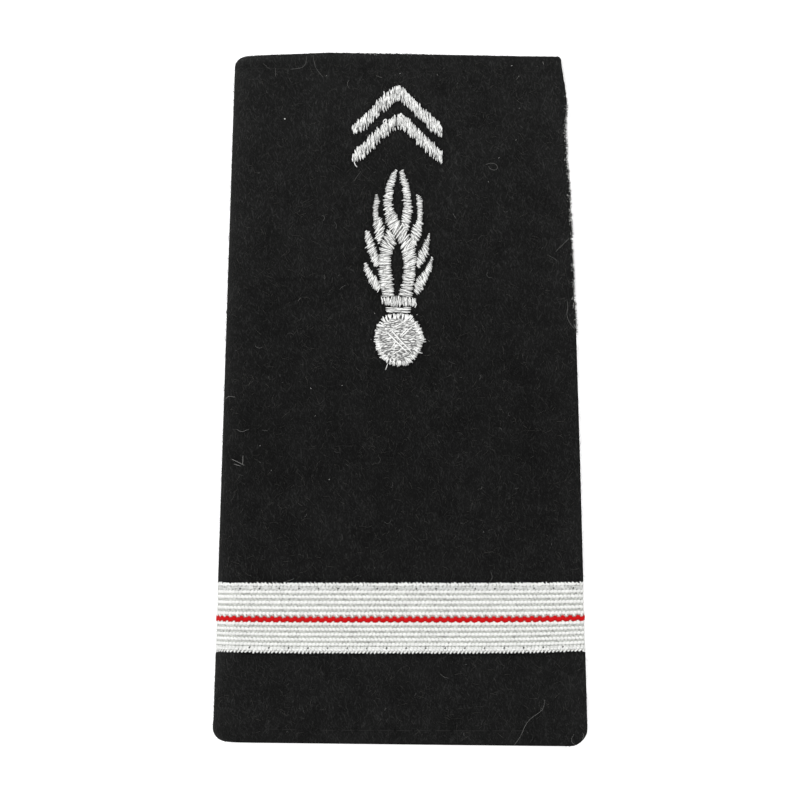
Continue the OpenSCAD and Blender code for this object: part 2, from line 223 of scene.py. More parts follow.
def rise(x, y):
    return CROWN * (1 - across(x, y) ** 2)


def felt_top(x, y):
    return FRONT_TOP + rise(x, y)


def fold(y, p):
    """Middle and half height of the left fold's arc where it is pressed in by p."""
    x = edges(y)[0] + FOLD_D + p
    top, bottom = FRONT_MIDDLE + rise(x, y), FELT_T / 2 + p
    return x, (top + bottom) / 2, (top - bottom) / 2


def arc(x, z, rx, rz, start, stop, n):
    """Points of part of an ellipse in the section, angles in degrees."""
    a = np.radians(np.linspace(start, stop, n + 1))
    return np.stack([x + rx * np.cos(a), z + rz * np.sin(a)], 1)


def unit_steps(steps):
    return steps / np.linalg.norm(steps, axis=1)[:, None]


def distances(path):
    """The way gone along a path at each of its points."""
    return np.r_[0, np.cumsum(np.linalg.norm(np.diff(path, axis=0), axis=1))]


def beside(path, t):
    """The curve at distance t beside a section curve, mitred at its corners."""
    step = unit_steps(np.diff(path, axis=0))
    after = np.vstack([step, step[-1:]])
    way = unit_steps(np.vstack([step[:1], step]) + after)
    fit = np.maximum(0.5, (way * after).sum(1))
    return path + np.asarray(t)[..., None] * np.stack([-way[:, 1], way[:, 0]], 1) / fit[:, None]


def rounding(d, r):
    """Share of the full thickness at a distance d in from a cut edge."""
    d = np.clip(np.asarray(d) / r, 0, 1)
    return 0.35 + 0.65 * np.sqrt(1 - (1 - d) ** 2)


# Columns across the front, as distances from the raw edge at middle length, closer at the badge
FRONT_W = 47.5
front_columns = np.concatenate([[0, 0.06, 0.15, 0.3, 0.55, 0.9, 1.3], np.arange(1.8, 16.5, 0.45),
                                np.arange(16.8, 33.1, 0.3), np.arange(33.5, FRONT_W, 0.45)]) / FRONT_W
FOLD_STEPS, BACK_STEPS, TURN_STEPS = 18, 34, 8


def felt_path(y):
    """Middle of the felt's wall in the section at a place along."""
    left, right = edges(y)
    at_fold, p, r = press(y, -1), press(y, 1), TURN_R - FELT_T / 2
    tear = TEAR * noise.noise((8.7, y * 2.3, 0)) * lookup(y, TORN)
    straight = right + corner(SLEEVE_L / 2 - y, NARROW_CORNER_R) - corner(SLEEVE_L / 2 - y, RAW_CORNER_R)
    raw = straight - p - lookup(y, RAW_EDGE) + tear
    fx, fz, half = fold(y, at_fold)
    tx = right - WALL_IN - TURN_R - p
    in_l, in_r = fx + BRAID_TUCK - FOLD_D + PRESS_RUN, tx - BRAID_TUCK + TURN_R - PRESS_RUN
    front_x = raw + (fx - raw) * front_columns
    back_x = np.linspace(in_l + PRESS_RUN, in_r - PRESS_RUN, BACK_STEPS)
    low = FELT_T / 2
    return np.vstack([
        np.stack([front_x, FRONT_MIDDLE + rise(front_x, y)], 1),
        arc(fx, fz, FOLD_D - low, half, 90, 270, FOLD_STEPS),
        [(in_l, low + at_fold)], np.stack([back_x, np.full(BACK_STEPS, low)], 1), [(in_r, low + p)],
        arc(tx, low + p + r, r, r, -90, 0, TURN_STEPS),
        [(tx + r, PLATE_BOTTOM + rise(tx + r, y) - LAY_GAP)],
    ])


def wall_faces(rings, n):
    """Faces of a wall: each ring is an outer curve of n points and an inner one, backwards."""
    size = 2 * n
    faces = []
    for k in range(rings - 1):
        a, b = k * size, (k + 1) * size
        faces += [(a + i, b + i, b + (i + 1) % size, a + (i + 1) % size) for i in range(size)]
    last = (rings - 1) * size
    for i in range(n - 1):
        faces.append((i, i + 1, size - 2 - i, size - 1 - i))
        faces.append((last + i, last + size - 1 - i, last + size - 2 - i, last + i + 1))
    return faces


def put_in_scene(name, mesh):
    piece = bpy.data.objects.new(name, mesh)
    bpy.context.scene.collection.objects.link(piece)
    return piece


def seat(piece):
    """A smooth shaded piece that rides on the one body."""
    piece.data.shade_smooth()
    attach(piece, "root")
    return piece


def new_piece(name, points, faces, material):
    """A piece from points in mm."""
    mesh = bpy.data.meshes.new(name)
    mesh.from_pydata((np.asarray(points, float) * MM).tolist(), [], faces)
    mesh.materials.append(material)
    return seat(put_in_scene(name, mesh))


def group_sockets(group, direction, sockets):
    """Named sockets of a node group, given as name: kind or name: (kind, value)."""
    for label, kind in sockets.items():
        kind, value = kind if isinstance(kind, tuple) else (kind, None)
        made = group.interface.new_socket(label, in_out=direction, socket_type="NodeSocket" + kind)
        if value is not None:
            made.default_value = value


def shader_group(name, inputs, outputs):
    """An empty shader group, its inputs by name and the node that takes its outputs."""
    group = bpy.data.node_groups.new(name, "ShaderNodeTree")
    group_sockets(group, "INPUT", inputs)
    group_sockets(group, "OUTPUT", outputs)
    return group, group.nodes.new("NodeGroupInput").outputs, group.nodes.new("NodeGroupOutput")


def scaled(tree, vector, factor):
    return put(tree, "VectorMath", {0: vector, "Scale": factor}, operation="SCALE")


def ranged(tree, value, start, stop, low=0.0, high=1.0):
    """A value's range from start to stop, mapped on another."""
    return put(tree, "MapRange", {"Value": value, "From Min": start, "From Max": stop,
                                            "To Min": low, "To Max": high})


def blend(tree, share, first, second):
    """A colour between two by a share."""
    return put(tree, "Mix", {0: share, 6: first, 7: second}, data_type="RGBA")


# Matted fibres: dark cloth with short paler strokes that cross at three angles
matted, given, result = shader_group(
    "matted fibres",
    {"Vector": "Vector", "Ground": ("Color", (0, 0, 0, 1)), "Fibre": ("Color", (1, 1, 1, 1)),
     "Scale": ("Float", 1.0), "Amount": ("Float", 0.5)},
    {"Color": "Color", "Height": "Float"})
strokes = []
for turn, stretch in ((68, 4.5), (-50, 4.0), (100, 5.0)):
    place = put(matted, "Mapping", {"Vector": given["Vector"], "Rotation": (0, 0, math.radians(turn)),
                                              "Scale": (stretch, 1, 1)}, vector_type="TEXTURE")
    strokes.append(ranged(matted, noise_at(matted, place, given["Scale"], 1.0, Distortion=0.4), 0.58, 0.8))
most = calc(matted, "MAXIMUM", calc(matted, "MAXIMUM", strokes[0], strokes[1]), strokes[2])
uneven = calc(matted, "ADD", noise_at(matted, given["Vector"], 0.3, 5.0, Roughness=0.62),
              noise_at(matted, given["Vector"], 5.0))
mixed = blend(matted, calc(matted, "MULTIPLY", most, given["Amount"]), given["Ground"], given["Fibre"])
feed(matted, result, {"Color": scaled(matted, mixed, ranged(matted, uneven, 0.7, 1.3, 0.68, 1.32)),
                      "Height": most})


def millimetres(tree):
    """Object coordinates in millimetres."""
    return scaled(tree, put(tree, "TexCoord").outputs["Object"], 1 / MM)


def add_group(tree, group, **feeds):
    return put(tree, "Group", feeds, node_tree=group)


def dress(tree, shader, look, strength, depth):
    """Feeds a shader from a group's colour, and its height as a bump with a depth in mm."""
    bump = put(tree, "Bump", {"Strength": strength, "Distance": depth * MM,
                                        "Height": look.outputs["Height"]})
    feed(tree, shader, {"Base Color": look, "Normal": bump})


# Painted light and sheen on the felt: its colour grows paler towards both ends, along both sides and most of
# all at the narrow end's rim
painted_felt_sheen, given, result = shader_group("painted felt sheen", {"Vector": "Vector"}, {"Share": "Float"})
plan = put(painted_felt_sheen, "SeparateXYZ", {0: given["Vector"]}).outputs
aside = calc(painted_felt_sheen, "MULTIPLY_ADD", plan["Y"], 0.0306, calc(painted_felt_sheen, "ABSOLUTE", plan["X"]))
rim_y = calc(painted_felt_sheen, "MULTIPLY_ADD", plan["X"], -0.02, plan["Y"])
share = ranged(painted_felt_sheen, plan["Y"], 0.0, 49.0, 1.0, 1.36)
for where, start, stop, most in ((plan["Y"], -10.0, -35.0, 1.12), (aside, 20.0, 25.0, 1.2),
                                 (rim_y, 48.0, 48.7, 1.3)):
    share = calc(painted_felt_sheen, "MULTIPLY", share, ranged(painted_felt_sheen, where, start, stop, 1.0, most))
feed(painted_felt_sheen, result, {"Share": share})

felt_black, tree, shader = new_material("black felt", (0.012, 0.012, 0.012), 0.95, Specular_IOR_Level=0.0,
                                        Sheen_Weight=0.03, Sheen_Roughness=0.4)
look = add_group(tree, matted, Vector=millimetres(tree), Ground=(0.0082, 0.0083, 0.0082),
                 Fibre=(0.033, 0.0335, 0.033), Scale=6.0, Amount=0.62)
dress(tree, shader, look, 0.5, 0.1)
# The felt's colour is lightened by that painted sheen
feed(tree, shader, {"Base Color": scaled(tree, look, add_group(tree, painted_felt_sheen, Vector=millimetres(tree)))})

# Places of the felt's rings along it: distances from its ends, distances from the braid's middle,
# and even steps elsewhere, finer at the badge
INSET = np.array([0, 0.05, 0.1, 0.17, 0.25, 0.35, 0.5, 0.67, 0.85, 1.1, 1.35, 1.6, 1.85, 2.1, 2.4, 2.8,
                  3.3, 3.9, 4.6])
BESIDE_BRAID = np.array([-5.3, -4.86, -4.8, -4.75, -4.7, -4.65, -4.6, -4.5, -4.0, 4.4, 4.9, 5.02, 5.07,
                         5.12, 5.17, 5.22, 5.3, 5.7])
BADGE_LOW, BADGE_HIGH = 3.6, 46.0
felt_places = np.unique(np.round(np.concatenate([
    -SLEEVE_L / 2 + INSET, SLEEVE_L / 2 - INSET, BRAID_Y + BESIDE_BRAID,
    np.arange(BADGE_LOW, BADGE_HIGH, 0.33), np.arange(-44, BADGE_LOW, 0.9)]), 3))
felt_places = felt_places[np.r_[True, np.diff(felt_places) > 0.04]]

felt_points = []
front_n = len(front_columns)
for y in felt_places:
    path = felt_path(y)
    gone = distances(path)
    thick = np.minimum(np.minimum(rounding(gone, CUT_R + 0.05), rounding(gone[-1] - gone, CUT_R)),
                       rounding(SLEEVE_L / 2 - abs(y), CUT_R))
    for side in (-1, 1):
        line = beside(path, side * FELT_T / 2 * thick)[::-side]
        felt_points.append(np.stack([line[:, 0], bent_y(line[:, 0], np.full(len(line), y)), line[:, 1]], 1))
felt_points = np.array(felt_points).reshape(len(felt_places), -1, 3)
wall_n = felt_points.shape[1] // 2
fold_end = front_n + FOLD_STEPS // 2

# The face of the front is a little uneven, and drawn down along the rows of stitches, most of all
# at the needle holes
holes = [[(first + step * k, float(lookup(first + step * k, row))) for k in range(n)]
         for (first, step, n), row in zip(HOLES, STITCH_ROWS)]
for ring, place in zip(felt_points, felt_places):
    for p in ring[:fold_end]:
        drop = -WAVE * noise.noise((p[0] * 0.12, p[1] * 0.12, 1)) - FINE_WAVE * noise.noise((p[0], p[1], 5))
        for row, row_holes in zip(STITCH_ROWS, holes):
            off = p[1] - lookup(p[0], row)
            if abs(off) < 3 * ROW_R:
                near = min((p[0] - x) ** 2 + (p[1] - y) ** 2 for x, y in row_holes)
                drop += ROW_DEPTH * math.exp(-(off / ROW_R) ** 2)
                drop += HOLE_DEPTH * math.exp(-near / HOLE_R ** 2)
        p[2] -= drop
    # The narrow end's edge is a little ragged, and the fold steps out a little at the wide end
    last, first = (max(0.0, 1 - (SLEEVE_L / 2 - end * place) / END_RUN) for end in (1, -1))
    step = min(1.0, max(0.0, (FOLD_OUT_FROM - place) / 0.25))
    for p in ring:
        ragged = 0.13 * noise.noise((p[0] * 4, 2, 1)) + 0.1 * noise.noise((p[0] * 9, 7, 1))
        p[1] += last * (ragged * fluffy(p[0]) + 0.05) - WIDE_OUT * first
        p[0] -= FOLD_OUT * step * (p[0] < -23)
felt_faces = wall_faces(len(felt_places), wall_n)
felt = new_piece("felt", felt_points.reshape(-1, 3), felt_faces, felt_black)
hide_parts("felt_sleeve")

# Stiffener.
# A thin white fibre plate against the underside of the front felt. Its edge shows as a white strip
# outside the raw edge at the upper right, and it carries the front flat.
PLATE_ROUND = 0.25  # mm, rounding of its edges
PLATE_COLUMNS = np.r_[0, 0.002, 0.006, 0.014, np.linspace(0.03, 0.97, 30), 0.986, 0.994, 1]
# The plate's emission is painted light: it glows faintly, so that its strip stays white beside the felt's
# edge, where shade falls.
plate_white_glow, tree, shader = new_material("white fibre plate with painted glow", (0.9, 0.9, 0.9), 0.8,
                                         Emission_Color=(1, 1, 1), Emission_Strength=0.35)
dress(tree, shader, add_group(tree, matted, Vector=millimetres(tree), Ground=(0.9, 0.9, 0.89),
                              Fibre=(0.98, 0.98, 0.97), Scale=3.5, Amount=0.8), 0.4, 0.06)
plate_places = felt_places[(np.abs(felt_places - BRAID_Y) < 7) | (np.arange(len(felt_places)) % 3 == 0)
                           | (np.abs(felt_places) > 46)]
plate_points = []
for y in plate_places:
    start, stop = edges(y)[1] - press(y, 1), fold(y, press(y, -1))[0]
    x = start + (stop - start) * PLATE_COLUMNS
    full = rounding(np.minimum(np.abs(x - start), np.abs(x - stop)), PLATE_ROUND) \
        * rounding(SLEEVE_L / 2 - abs(y), PLATE_ROUND)
    for side in (1, -1):
        z = PLATE_BOTTOM + PLATE_T / 2 + rise(x, y) + side * full * PLATE_T / 2
        plate_points.append(np.stack([x, bent_y(x, np.full(len(x), y)), z], 1)[::side])
plate = new_piece("plate", np.vstack(plate_points), wall_faces(len(plate_places), len(PLATE_COLUMNS)),
                  plate_white_glow)
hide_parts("stiffener")

# Embroidered badge: two chevrons and the flames, collar and neck of the grenade.
# Silver-white machine thread in satin stitch over a low padding of the same thread. Each stitch
# runs from one side of its strand to the other and draws the felt down where it enters.
STITCH_GAP, BADGE_X = 0.2, -0.13
CHEVRON_W, CHEVRON_FALL, CHEVRON_ARM, CHEVRON_PITCH = 12.3, 5.6, 1.45, 3.95
FLAME_H, FLAME_W, STRAND_W = 17.9, 9.9, 1.84
COLLAR_W, COLLAR_H, NECK_W, NECK_H, BALL_D = 4.9, 1.25, 3.4, 0.7, 7.4
THREAD_R = 0.095
arm_lean = math.atan2(CHEVRON_FALL, CHEVRON_W / 2)
chevron_half = CHEVRON_ARM / math.cos(arm_lean) / 2
upper_point = SLEEVE_L / 2 - 4.6 - chevron_half
lower_point = upper_point - CHEVRON_PITCH
flame_tip = lower_point - chevron_half - 5.9
collar_top = flame_tip - FLAME_H - STITCH_GAP
neck_top = collar_top - COLLAR_H - STITCH_GAP
ball_y = neck_top - NECK_H - STITCH_GAP - BALL_D / 2
# Flames: fall below the tip as a share of FLAME_H, place across as a share of half FLAME_W, width
# as a share of STRAND_W
FLAMES = {
    "flame_crossing": [
        (0.01, -0.08, 0.25), (0.043, -0.154, 0.5), (0.085, -0.211, 0.6), (0.134, -0.269, 0.62),
        (0.213, -0.314, 0.68), (0.284, -0.323, 0.72), (0.34, -0.285, 0.82), (0.391, -0.215, 0.97),
        (0.453, -0.125, 1.12), (0.494, 0.005, 1.12), (0.545, 0.137, 1.09), (0.6, 0.236, 1.06),
        (0.656, 0.288, 1.08), (0.719, 0.315, 1.06), (0.79, 0.314, 1.0), (0.861, 0.285, 0.98),
        (0.928, 0.24, 1.02), (1, 0.183, 1.07)],
    "flame_upper_right": [
        (0.012, 0.069, 0.35), (0.047, 0.083, 0.46), (0.091, 0.149, 0.55), (0.142, 0.197, 0.57),
        (0.205, 0.217, 0.63), (0.269, 0.246, 0.73), (0.324, 0.249, 0.75), (0.375, 0.22, 0.78),
        (0.411, 0.19, 0.78), (0.442, 0.165, 0.7), (0.475, 0.19, 0.45)],
    "flame_lower_left": [
        (0.51, -0.225, 0.7), (0.537, -0.255, 1.1), (0.575, -0.29, 1.18), (0.61, -0.35, 1.08),
        (0.64, -0.38, 1.04), (0.703, -0.415, 1.01), (0.774, -0.417, 1.0), (0.849, -0.38, 1.04),
        (0.92, -0.345, 1.04), (1, -0.309, 1.07)],
    "flame_left_top": [
        (0.205, -0.643, 0.22), (0.245, -0.631, 0.44), (0.3, -0.677, 0.47), (0.355, -0.671, 0.47),
        (0.403, -0.646, 0.64), (0.454, -0.583, 0.86), (0.502, -0.545, 0.84), (0.545, -0.545, 0.6),
        (0.585, -0.57, 0.2)],
    "flame_left_middle": [
        (0.494, -0.95, 0.25), (0.516, -0.911, 0.54), (0.579, -0.831, 0.65), (0.643, -0.774, 0.69),
        (0.706, -0.685, 0.76), (0.735, -0.645, 0.6), (0.762, -0.615, 0.3)],
    "flame_left_low": [
        (0.745, -0.957, 0.2), (0.769, -0.951, 0.5), (0.832, -0.852, 0.59), (0.877, -0.745, 0.78),
        (0.9, -0.68, 0.84), (0.925, -0.615, 0.7), (0.945, -0.57, 0.45)],
    "flame_right_top": [
        (0.205, 0.509, 0.22), (0.237, 0.575, 0.46), (0.263, 0.586, 0.54), (0.3, 0.592, 0.5),
        (0.34, 0.59, 0.44), (0.39, 0.6, 0.45), (0.434, 0.575, 0.66), (0.486, 0.515, 0.8),
        (0.516, 0.483, 0.8), (0.545, 0.44, 0.7), (0.573, 0.41, 0.6), (0.61, 0.38, 0.38)],
    "flame_right_middle": [
        (0.512, 0.863, 0.16), (0.557, 0.815, 0.36), (0.6, 0.775, 0.52), (0.643, 0.74, 0.7),
        (0.695, 0.64, 0.76), (0.735, 0.57, 0.62), (0.77, 0.535, 0.3)],
    "flame_right_low": [
        (0.699, 0.94, 0.15), (0.75, 0.903, 0.35), (0.798, 0.84, 0.56), (0.845, 0.735, 0.66),
        (0.893, 0.615, 0.8), (0.94, 0.53, 0.72), (0.976, 0.48, 0.45)],
}
# Turn of the stitches against the square to their strand, in degrees: fall as in FLAMES, turn
SLANTS = {
    "flame_crossing": [(0, 5), (0.3, 10), (0.45, 18), (0.6, 30), (0.7, 15), (0.82, 4), (1, 0)],
    "flame_upper_right": [(0, 0), (0.3, -2), (0.45, -22)],
    "flame_lower_left": [(0.5, -34), (0.58, -22), (0.66, 0), (1, 0)],
    "flame_left_top": [(0.2, 5), (0.38, 12), (0.46, 34)],
    "flame_left_middle": [(0.5, 24), (0.6, 32)],
    "flame_left_low": [(0.75, 24), (0.85, 34)],
    "flame_right_top": [(0.2, 0), (0.35, -8), (0.44, -28), (0.6, -36)],
    "flame_right_middle": [(0.5, -20), (0.6, -28)],
    "flame_right_low": [(0.7, -14), (0.8, -28)],
}
# Chevrons, collar and neck: place across as a share of half the width, fall as a share of the fall
# or height, thickness as a share of the arm or height
CHEVRONS = {
    "upper_chevron": [
        (-1.07, 1, 0.8), (-0.8, 0.765, 0.9), (-0.5, 0.43, 1.02), (-0.13, 0.075, 0.98), (0, -0.02, 0.93),
        (0.12, 0.09, 1.05), (0.5, 0.53, 1.03), (0.85, 0.885, 1.05), (1.02, 1.03, 0.9)],
    "lower_chevron": [
        (-1.07, 1.02, 0.8), (-0.8, 0.735, 0.97), (-0.5, 0.4, 0.97), (-0.13, 0.07, 0.9), (0, 0.025, 0.98),
        (0.12, 0.07, 1.03), (0.5, 0.48, 1.02), (0.8, 0.79, 1), (1.02, 0.98, 0.85)]}
COLLAR = [(-1, 0.44, 0.7), (-0.55, 0.48, 0.96), (0, 0.5, 1), (0.5, 0.5, 1), (0.96, 0.62, 0.76)]
NECK = [(-1.06, 0.52, 0.76), (-0.5, 0.5, 0.96), (0, 0.5, 1), (0.5, 0.5, 0.96), (0.94, 0.52, 0.76)]
PADDING_H, PADDING_SHARE, SINK = 0.16, 0.74, 0.12  # mm above the felt, share of the width, mm the ends sink
BED_TONE = -0.3  # the padding lies in the stitches' shade
BEAT = 0.25  # every other stitch lies deeper, in the shade of its neighbours, by this tone
FULL_GIRTH_W = 0.9  # mm, width of a strand from which its stitches have their full girth
COMB_H, COMB_L = 0.07, 0.62  # mm, how far and how often the edge of a band goes in and out
BAND_END, SHORTEST, OVERLAP = 0.9, 0.2, 0.12  # mm, a band's cut ends, its shortest stitch, the overlap
SATIN = dict(Points=9, Sides=7, Flatness=2.4, Wander=0.00014, Taper=0.25, Fade=0.35)
dice = np.random.default_rng(41)

# Twisted yarn: two plies that wind along the thread, with single filaments in each
yarn, given, result = shader_group(
    "twisted yarn",
    {"Along": ("Float", 0.0), "Round": ("Float", 0.0), "Tone": ("Float", 0.5),
     "Light": ("Color", (1, 1, 1, 1)), "Dark": ("Color", (0, 0, 0, 1)), "Turns": ("Float", 1.0)},
    {"Color": "Color", "Height": "Float"})
wound = calc(yarn, "MULTIPLY", given["Along"], given["Turns"])
doubled = calc(yarn, "MULTIPLY_ADD", given["Round"], 2.0, wound)
ply = ranged(yarn, calc(yarn, "SINE", calc(yarn, "MULTIPLY", doubled, math.tau)), -1.0, 1.0)
strand = put(yarn, "CombineXYZ", {"X": wound, "Y": calc(yarn, "MULTIPLY", doubled, 9.0),
                                            "Z": calc(yarn, "MULTIPLY", given["Tone"], 31.0)})
filaments = noise_at(yarn, strand, 2.0, 1.0)
level = calc(yarn, "MULTIPLY_ADD", filaments, 0.7, calc(yarn, "MULTIPLY_ADD", ply, 0.6, given["Tone"]))
feed(yarn, result, {"Color": blend(yarn, ranged(yarn, level, 0.34, 1.56), given["Dark"], given["Light"]),
                    "Height": calc(yarn, "MULTIPLY_ADD", filaments, 0.5, ply)})


def attribute(tree, name):
    return put(tree, "Attribute", attribute_name=name).outputs["Fac"]


def yarn_material(name, light, dark, roughness, turns, strength, depth, **sockets):
    """A material and its tree, shader and yarn, with a bump's strength and its depth in mm."""
    material, tree, shader = new_material(name, light, roughness, **sockets)
    look = add_group(tree, yarn, Along=attribute(tree, "along"), Round=attribute(tree, "round"),
                     Tone=attribute(tree, "tone"), Light=light, Dark=dark, Turns=turns)
    dress(tree, shader, look, strength, depth)
    return material, tree, shader, look


# The thread's emission is painted light: a faint glow that brightens its highlights and its shaded parts
# alike.
silver_white = yarn_material("silver-white thread", (0.97, 0.975, 0.96), (0.07, 0.071, 0.07), 0.36, 2.0,
                             0.6, 0.03, Specular_IOR_Level=0.7, Emission_Color=(1, 1, 0.98),
                             Emission_Strength=0.09)[0]


def node_tree(name, inputs):
    """A geometry node tree with named inputs, given as name: kind or name: (kind, value)."""
    tree = bpy.data.node_groups.new(name, "GeometryNodeTree")
    group_sockets(tree, "INPUT", {"Geometry": "Geometry", **inputs})
    group_sockets(tree, "OUTPUT", {"Geometry": "Geometry"})
    return tree, tree.nodes.new("NodeGroupInput").outputs


def finish_tree(tree, geometry, material):
    """Ends a tree in Realize Instances and Set Material."""
    solid = put(tree, "RealizeInstances", {"Geometry": geometry})
    dressed = put(tree, "SetMaterial", {"Geometry": solid, "Material": material})
    feed(tree, tree.nodes.new("NodeGroupOutput"), {0: dressed})


def field(tree, name, kind="FLOAT"):
    return put(tree, "InputNamedAttribute", {"Name": name}, data_type=kind)


def store(tree, geometry, name, value, domain="POINT"):
    """A geometry with a named attribute stored on it."""
    return put(tree, "StoreNamedAttribute", {"Geometry": geometry, "Name": name, "Value": value},
               data_type="FLOAT", domain=domain)


def moved(tree, geometry, offset):
    return put(tree, "SetPosition", {"Geometry": geometry, "Offset": offset})


def wandering(tree, scale, detail, reach):
    """An offset that wanders with the place, by a reach."""
    wander = noise_at(tree, put(tree, "InputPosition"), scale, detail).outputs["Color"]
    wander = put(tree, "VectorMath", {0: wander, 1: (0.5, 0.5, 0.5)}, operation="SUBTRACT")
    return scaled(tree, wander, reach)


# A thread along each loose edge of the guide: it arches by the guide's "lift" and sinks at its
# ends. Faces of the guide, marked as "bed", are kept as the padding underneath.
threads, g = node_tree("threads", {
    "Radius": ("Float", 0.0001), "Points": ("Int", 8), "Sides": ("Int", 6), "Flatness": ("Float", 3.0),
    "Wander": ("Float", 0.0), "Taper": ("Float", 0.0), "Fade": ("Float", 0.0), "Material": "Material"})
is_thread = put(threads, "Compare", {0: field(threads, "bed"), 1: 0.5}, operation="LESS_THAN")
bed = put(threads, "DeleteGeometry", {"Geometry": g["Geometry"], "Selection": is_thread})
lines = put(threads, "MeshToCurve", {"Mesh": g["Geometry"], "Selection": is_thread})
lines = put(threads, "ResampleCurve", {"Curve": lines, "Count": g["Points"]})
there = put(threads, "SplineParameter").outputs["Factor"]
aside = calc(threads, "ABSOLUTE", calc(threads, "MULTIPLY_ADD", there, 2.0, -1.0))
arch = calc(threads, "SUBTRACT", 1.0, calc(threads, "POWER", aside, g["Flatness"]))
lines = moved(threads, lines, wandering(threads, 1400.0, 1.0, calc(threads, "MULTIPLY", arch, g["Wander"])))
lift = calc(threads, "MULTIPLY", arch, field(threads, "lift"))
lines = moved(threads, lines, put(threads, "CombineXYZ", {"Z": lift}))
gone = put(threads, "SplineParameter").outputs["Length"]
lines = store(threads, lines, "along", calc(threads, "MULTIPLY", gone, 1 / MM))
# Painted shade: each thread's tone darkens towards its ends, where they sink into the felt.
near_end = calc(threads, "POWER", aside, 4.0)
end_shade = calc(threads, "MULTIPLY", near_end, g["Fade"])
lines = store(threads, lines, "tone", calc(threads, "SUBTRACT", field(threads, "tone"), end_shade))
slim = calc(threads, "SUBTRACT", 1.0, calc(threads, "MULTIPLY", near_end, g["Taper"]))
girth = calc(threads, "MULTIPLY", calc(threads, "MULTIPLY", g["Radius"], field(threads, "girth")), slim)
ring = put(threads, "CurvePrimitiveCircle", {"Resolution": g["Sides"], "Radius": 1.0})
ring = store(threads, ring, "round", put(threads, "SplineParameter"))
tubes = put(threads, "CurveToMesh",
            {"Curve": lines, "Profile Curve": ring, "Scale": girth, "Fill Caps": True})
finish_tree(threads, put(threads, "JoinGeometry", {"Geometry": [bed, tubes]}), g["Material"])


def guide_mesh(points, links, faces=(), **values):
    """A mesh that a node tree builds on: points in mm, loose edges, faces and point attributes."""
    mesh = bpy.data.meshes.new("guide")
    mesh.from_pydata((np.asarray(points, float) * MM).tolist(), [tuple(e) for e in links],
                     [tuple(f) for f in faces])
    for key, numbers in values.items():
        numbers = np.asarray(numbers, np.float32)
        kind, field_name = ("FLOAT", "value") if numbers.ndim < 2 else ("FLOAT_VECTOR", "vector")
        made = mesh.attributes.new(key, kind, "POINT")
        made.data.foreach_set(field_name, np.broadcast_to(numbers, (len(mesh.vertices),) + numbers.shape[1:]
                                                          ).astype(np.float32).ravel())
    return mesh


def grow(name, guide, tree, material, slot, **values):
    """Runs a node tree on a guide and keeps the result as a plain piece on the one body."""
    piece = put_in_scene(name, guide)
    modifier = piece.modifiers.new("make", "NODES")
    modifier.node_group = tree
    values["Material"] = material
    for item in tree.interface.items_tree:
        if item.in_out == "INPUT" and item.name in values:
            modifier[item.identifier] = values[item.name]
    graph = bpy.context.evaluated_depsgraph_get()
    mesh = bpy.data.meshes.new_from_object(piece.evaluated_get(graph), preserve_all_data_layers=True,
                                           depsgraph=graph)
    piece.modifiers.remove(modifier)
    piece.data = mesh
    mesh.name = name
    return seat(piece)


def resample(rows, gone, fine):
    """Rows of a table, known at the distances gone, at the fine distances."""
    return np.stack([np.interp(fine, gone, column) for column in np.asarray(rows).T], 1)


def smooth(rows, times):
    for _ in range(times):
        rows[1:-1] = (rows[:-2] + 2 * rows[1:-1] + rows[2:]) / 4
    return rows


def refine(rows, step):
    """Rows of [x, y, width] at an even step along their line, smoothed through the given ones."""
    rows = np.asarray(rows, float)
    gone = distances(rows[:, :2])
    return smooth(resample(rows, gone, np.linspace(0, gone[-1], max(8, int(gone[-1] / step) + 1))), 2)


def sides(line):
    """Unit vectors square to a line, to its left."""
    way = unit_steps(np.gradient(line[:, :2], axis=0))
    return np.stack([-way[:, 1], way[:, 0]], 1)


def padding(line, share, height, over=6, root=0.3):
    """The low bed of a strand: a domed strip that roots in the felt, as points in mm and faces."""
    points = []
    for (x, y, w), (nx, ny) in zip(line, sides(line)):
        for k in range(over + 1):
            a = math.pi * k / over
            px, py = x + nx * math.cos(a) * w / 2 * share, y + ny * math.cos(a) * w / 2 * share
            points.append((px, py, felt_top(px, py) - root + (height + root) * math.sin(a) ** 0.7))
    n = over + 1
    faces = [tuple(range(n))[::-1], tuple(range(len(points) - n, len(points)))]
    for r in range(0, len(points) - n, n):
        faces += [(r + k, r + (k + 1) % n, r + n + (k + 1) % n, r + n + k) for k in range(n)]
    return points, faces


def outward(points, faces):
    """The faces turned so that a closed form's volume is positive."""
    p = np.asarray(points, float)
    corners = [(f[0], f[i], f[i + 1]) for f in faces for i in range(1, len(f) - 1)]
    volume = sum(np.dot(p[a], np.cross(p[b], p[c])) for a, b, c in corners)
    return faces if volume > 0 else [f[::-1] for f in faces]


class ThreadGuide:
    """Threads to grow over a bed of padding: points in mm, links, faces and attributes."""

    def __init__(self, points=(), faces=()):
        n = len(points)
        self.points, self.links, self.faces = list(points), [], outward(points, faces) if n else ()
        self.data = {"bed": [1.0] * n, "lift": [0.0] * n, "tone": [BED_TONE] * n, "girth": [1.0] * n}

    def add(self, path, up, shade, fat):
        """A thread through places in mm, with its lift in mm, its tone and its girth."""
        first = len(self.points)
        self.points += path
        self.links += [(k, k + 1) for k in range(first, first + len(path) - 1)]
        for key, value in zip(self.data, (0.0, up * MM, shade, fat)):
            self.data[key] += [value] * len(path)

    def grow(self, name, material, slot, radius, **settings):
        """The piece, with its threads' radius in mm."""
        guide = guide_mesh(self.points, self.links, self.faces, **self.data)
        return grow(name, guide, threads, material, slot, Radius=radius * MM, **settings)


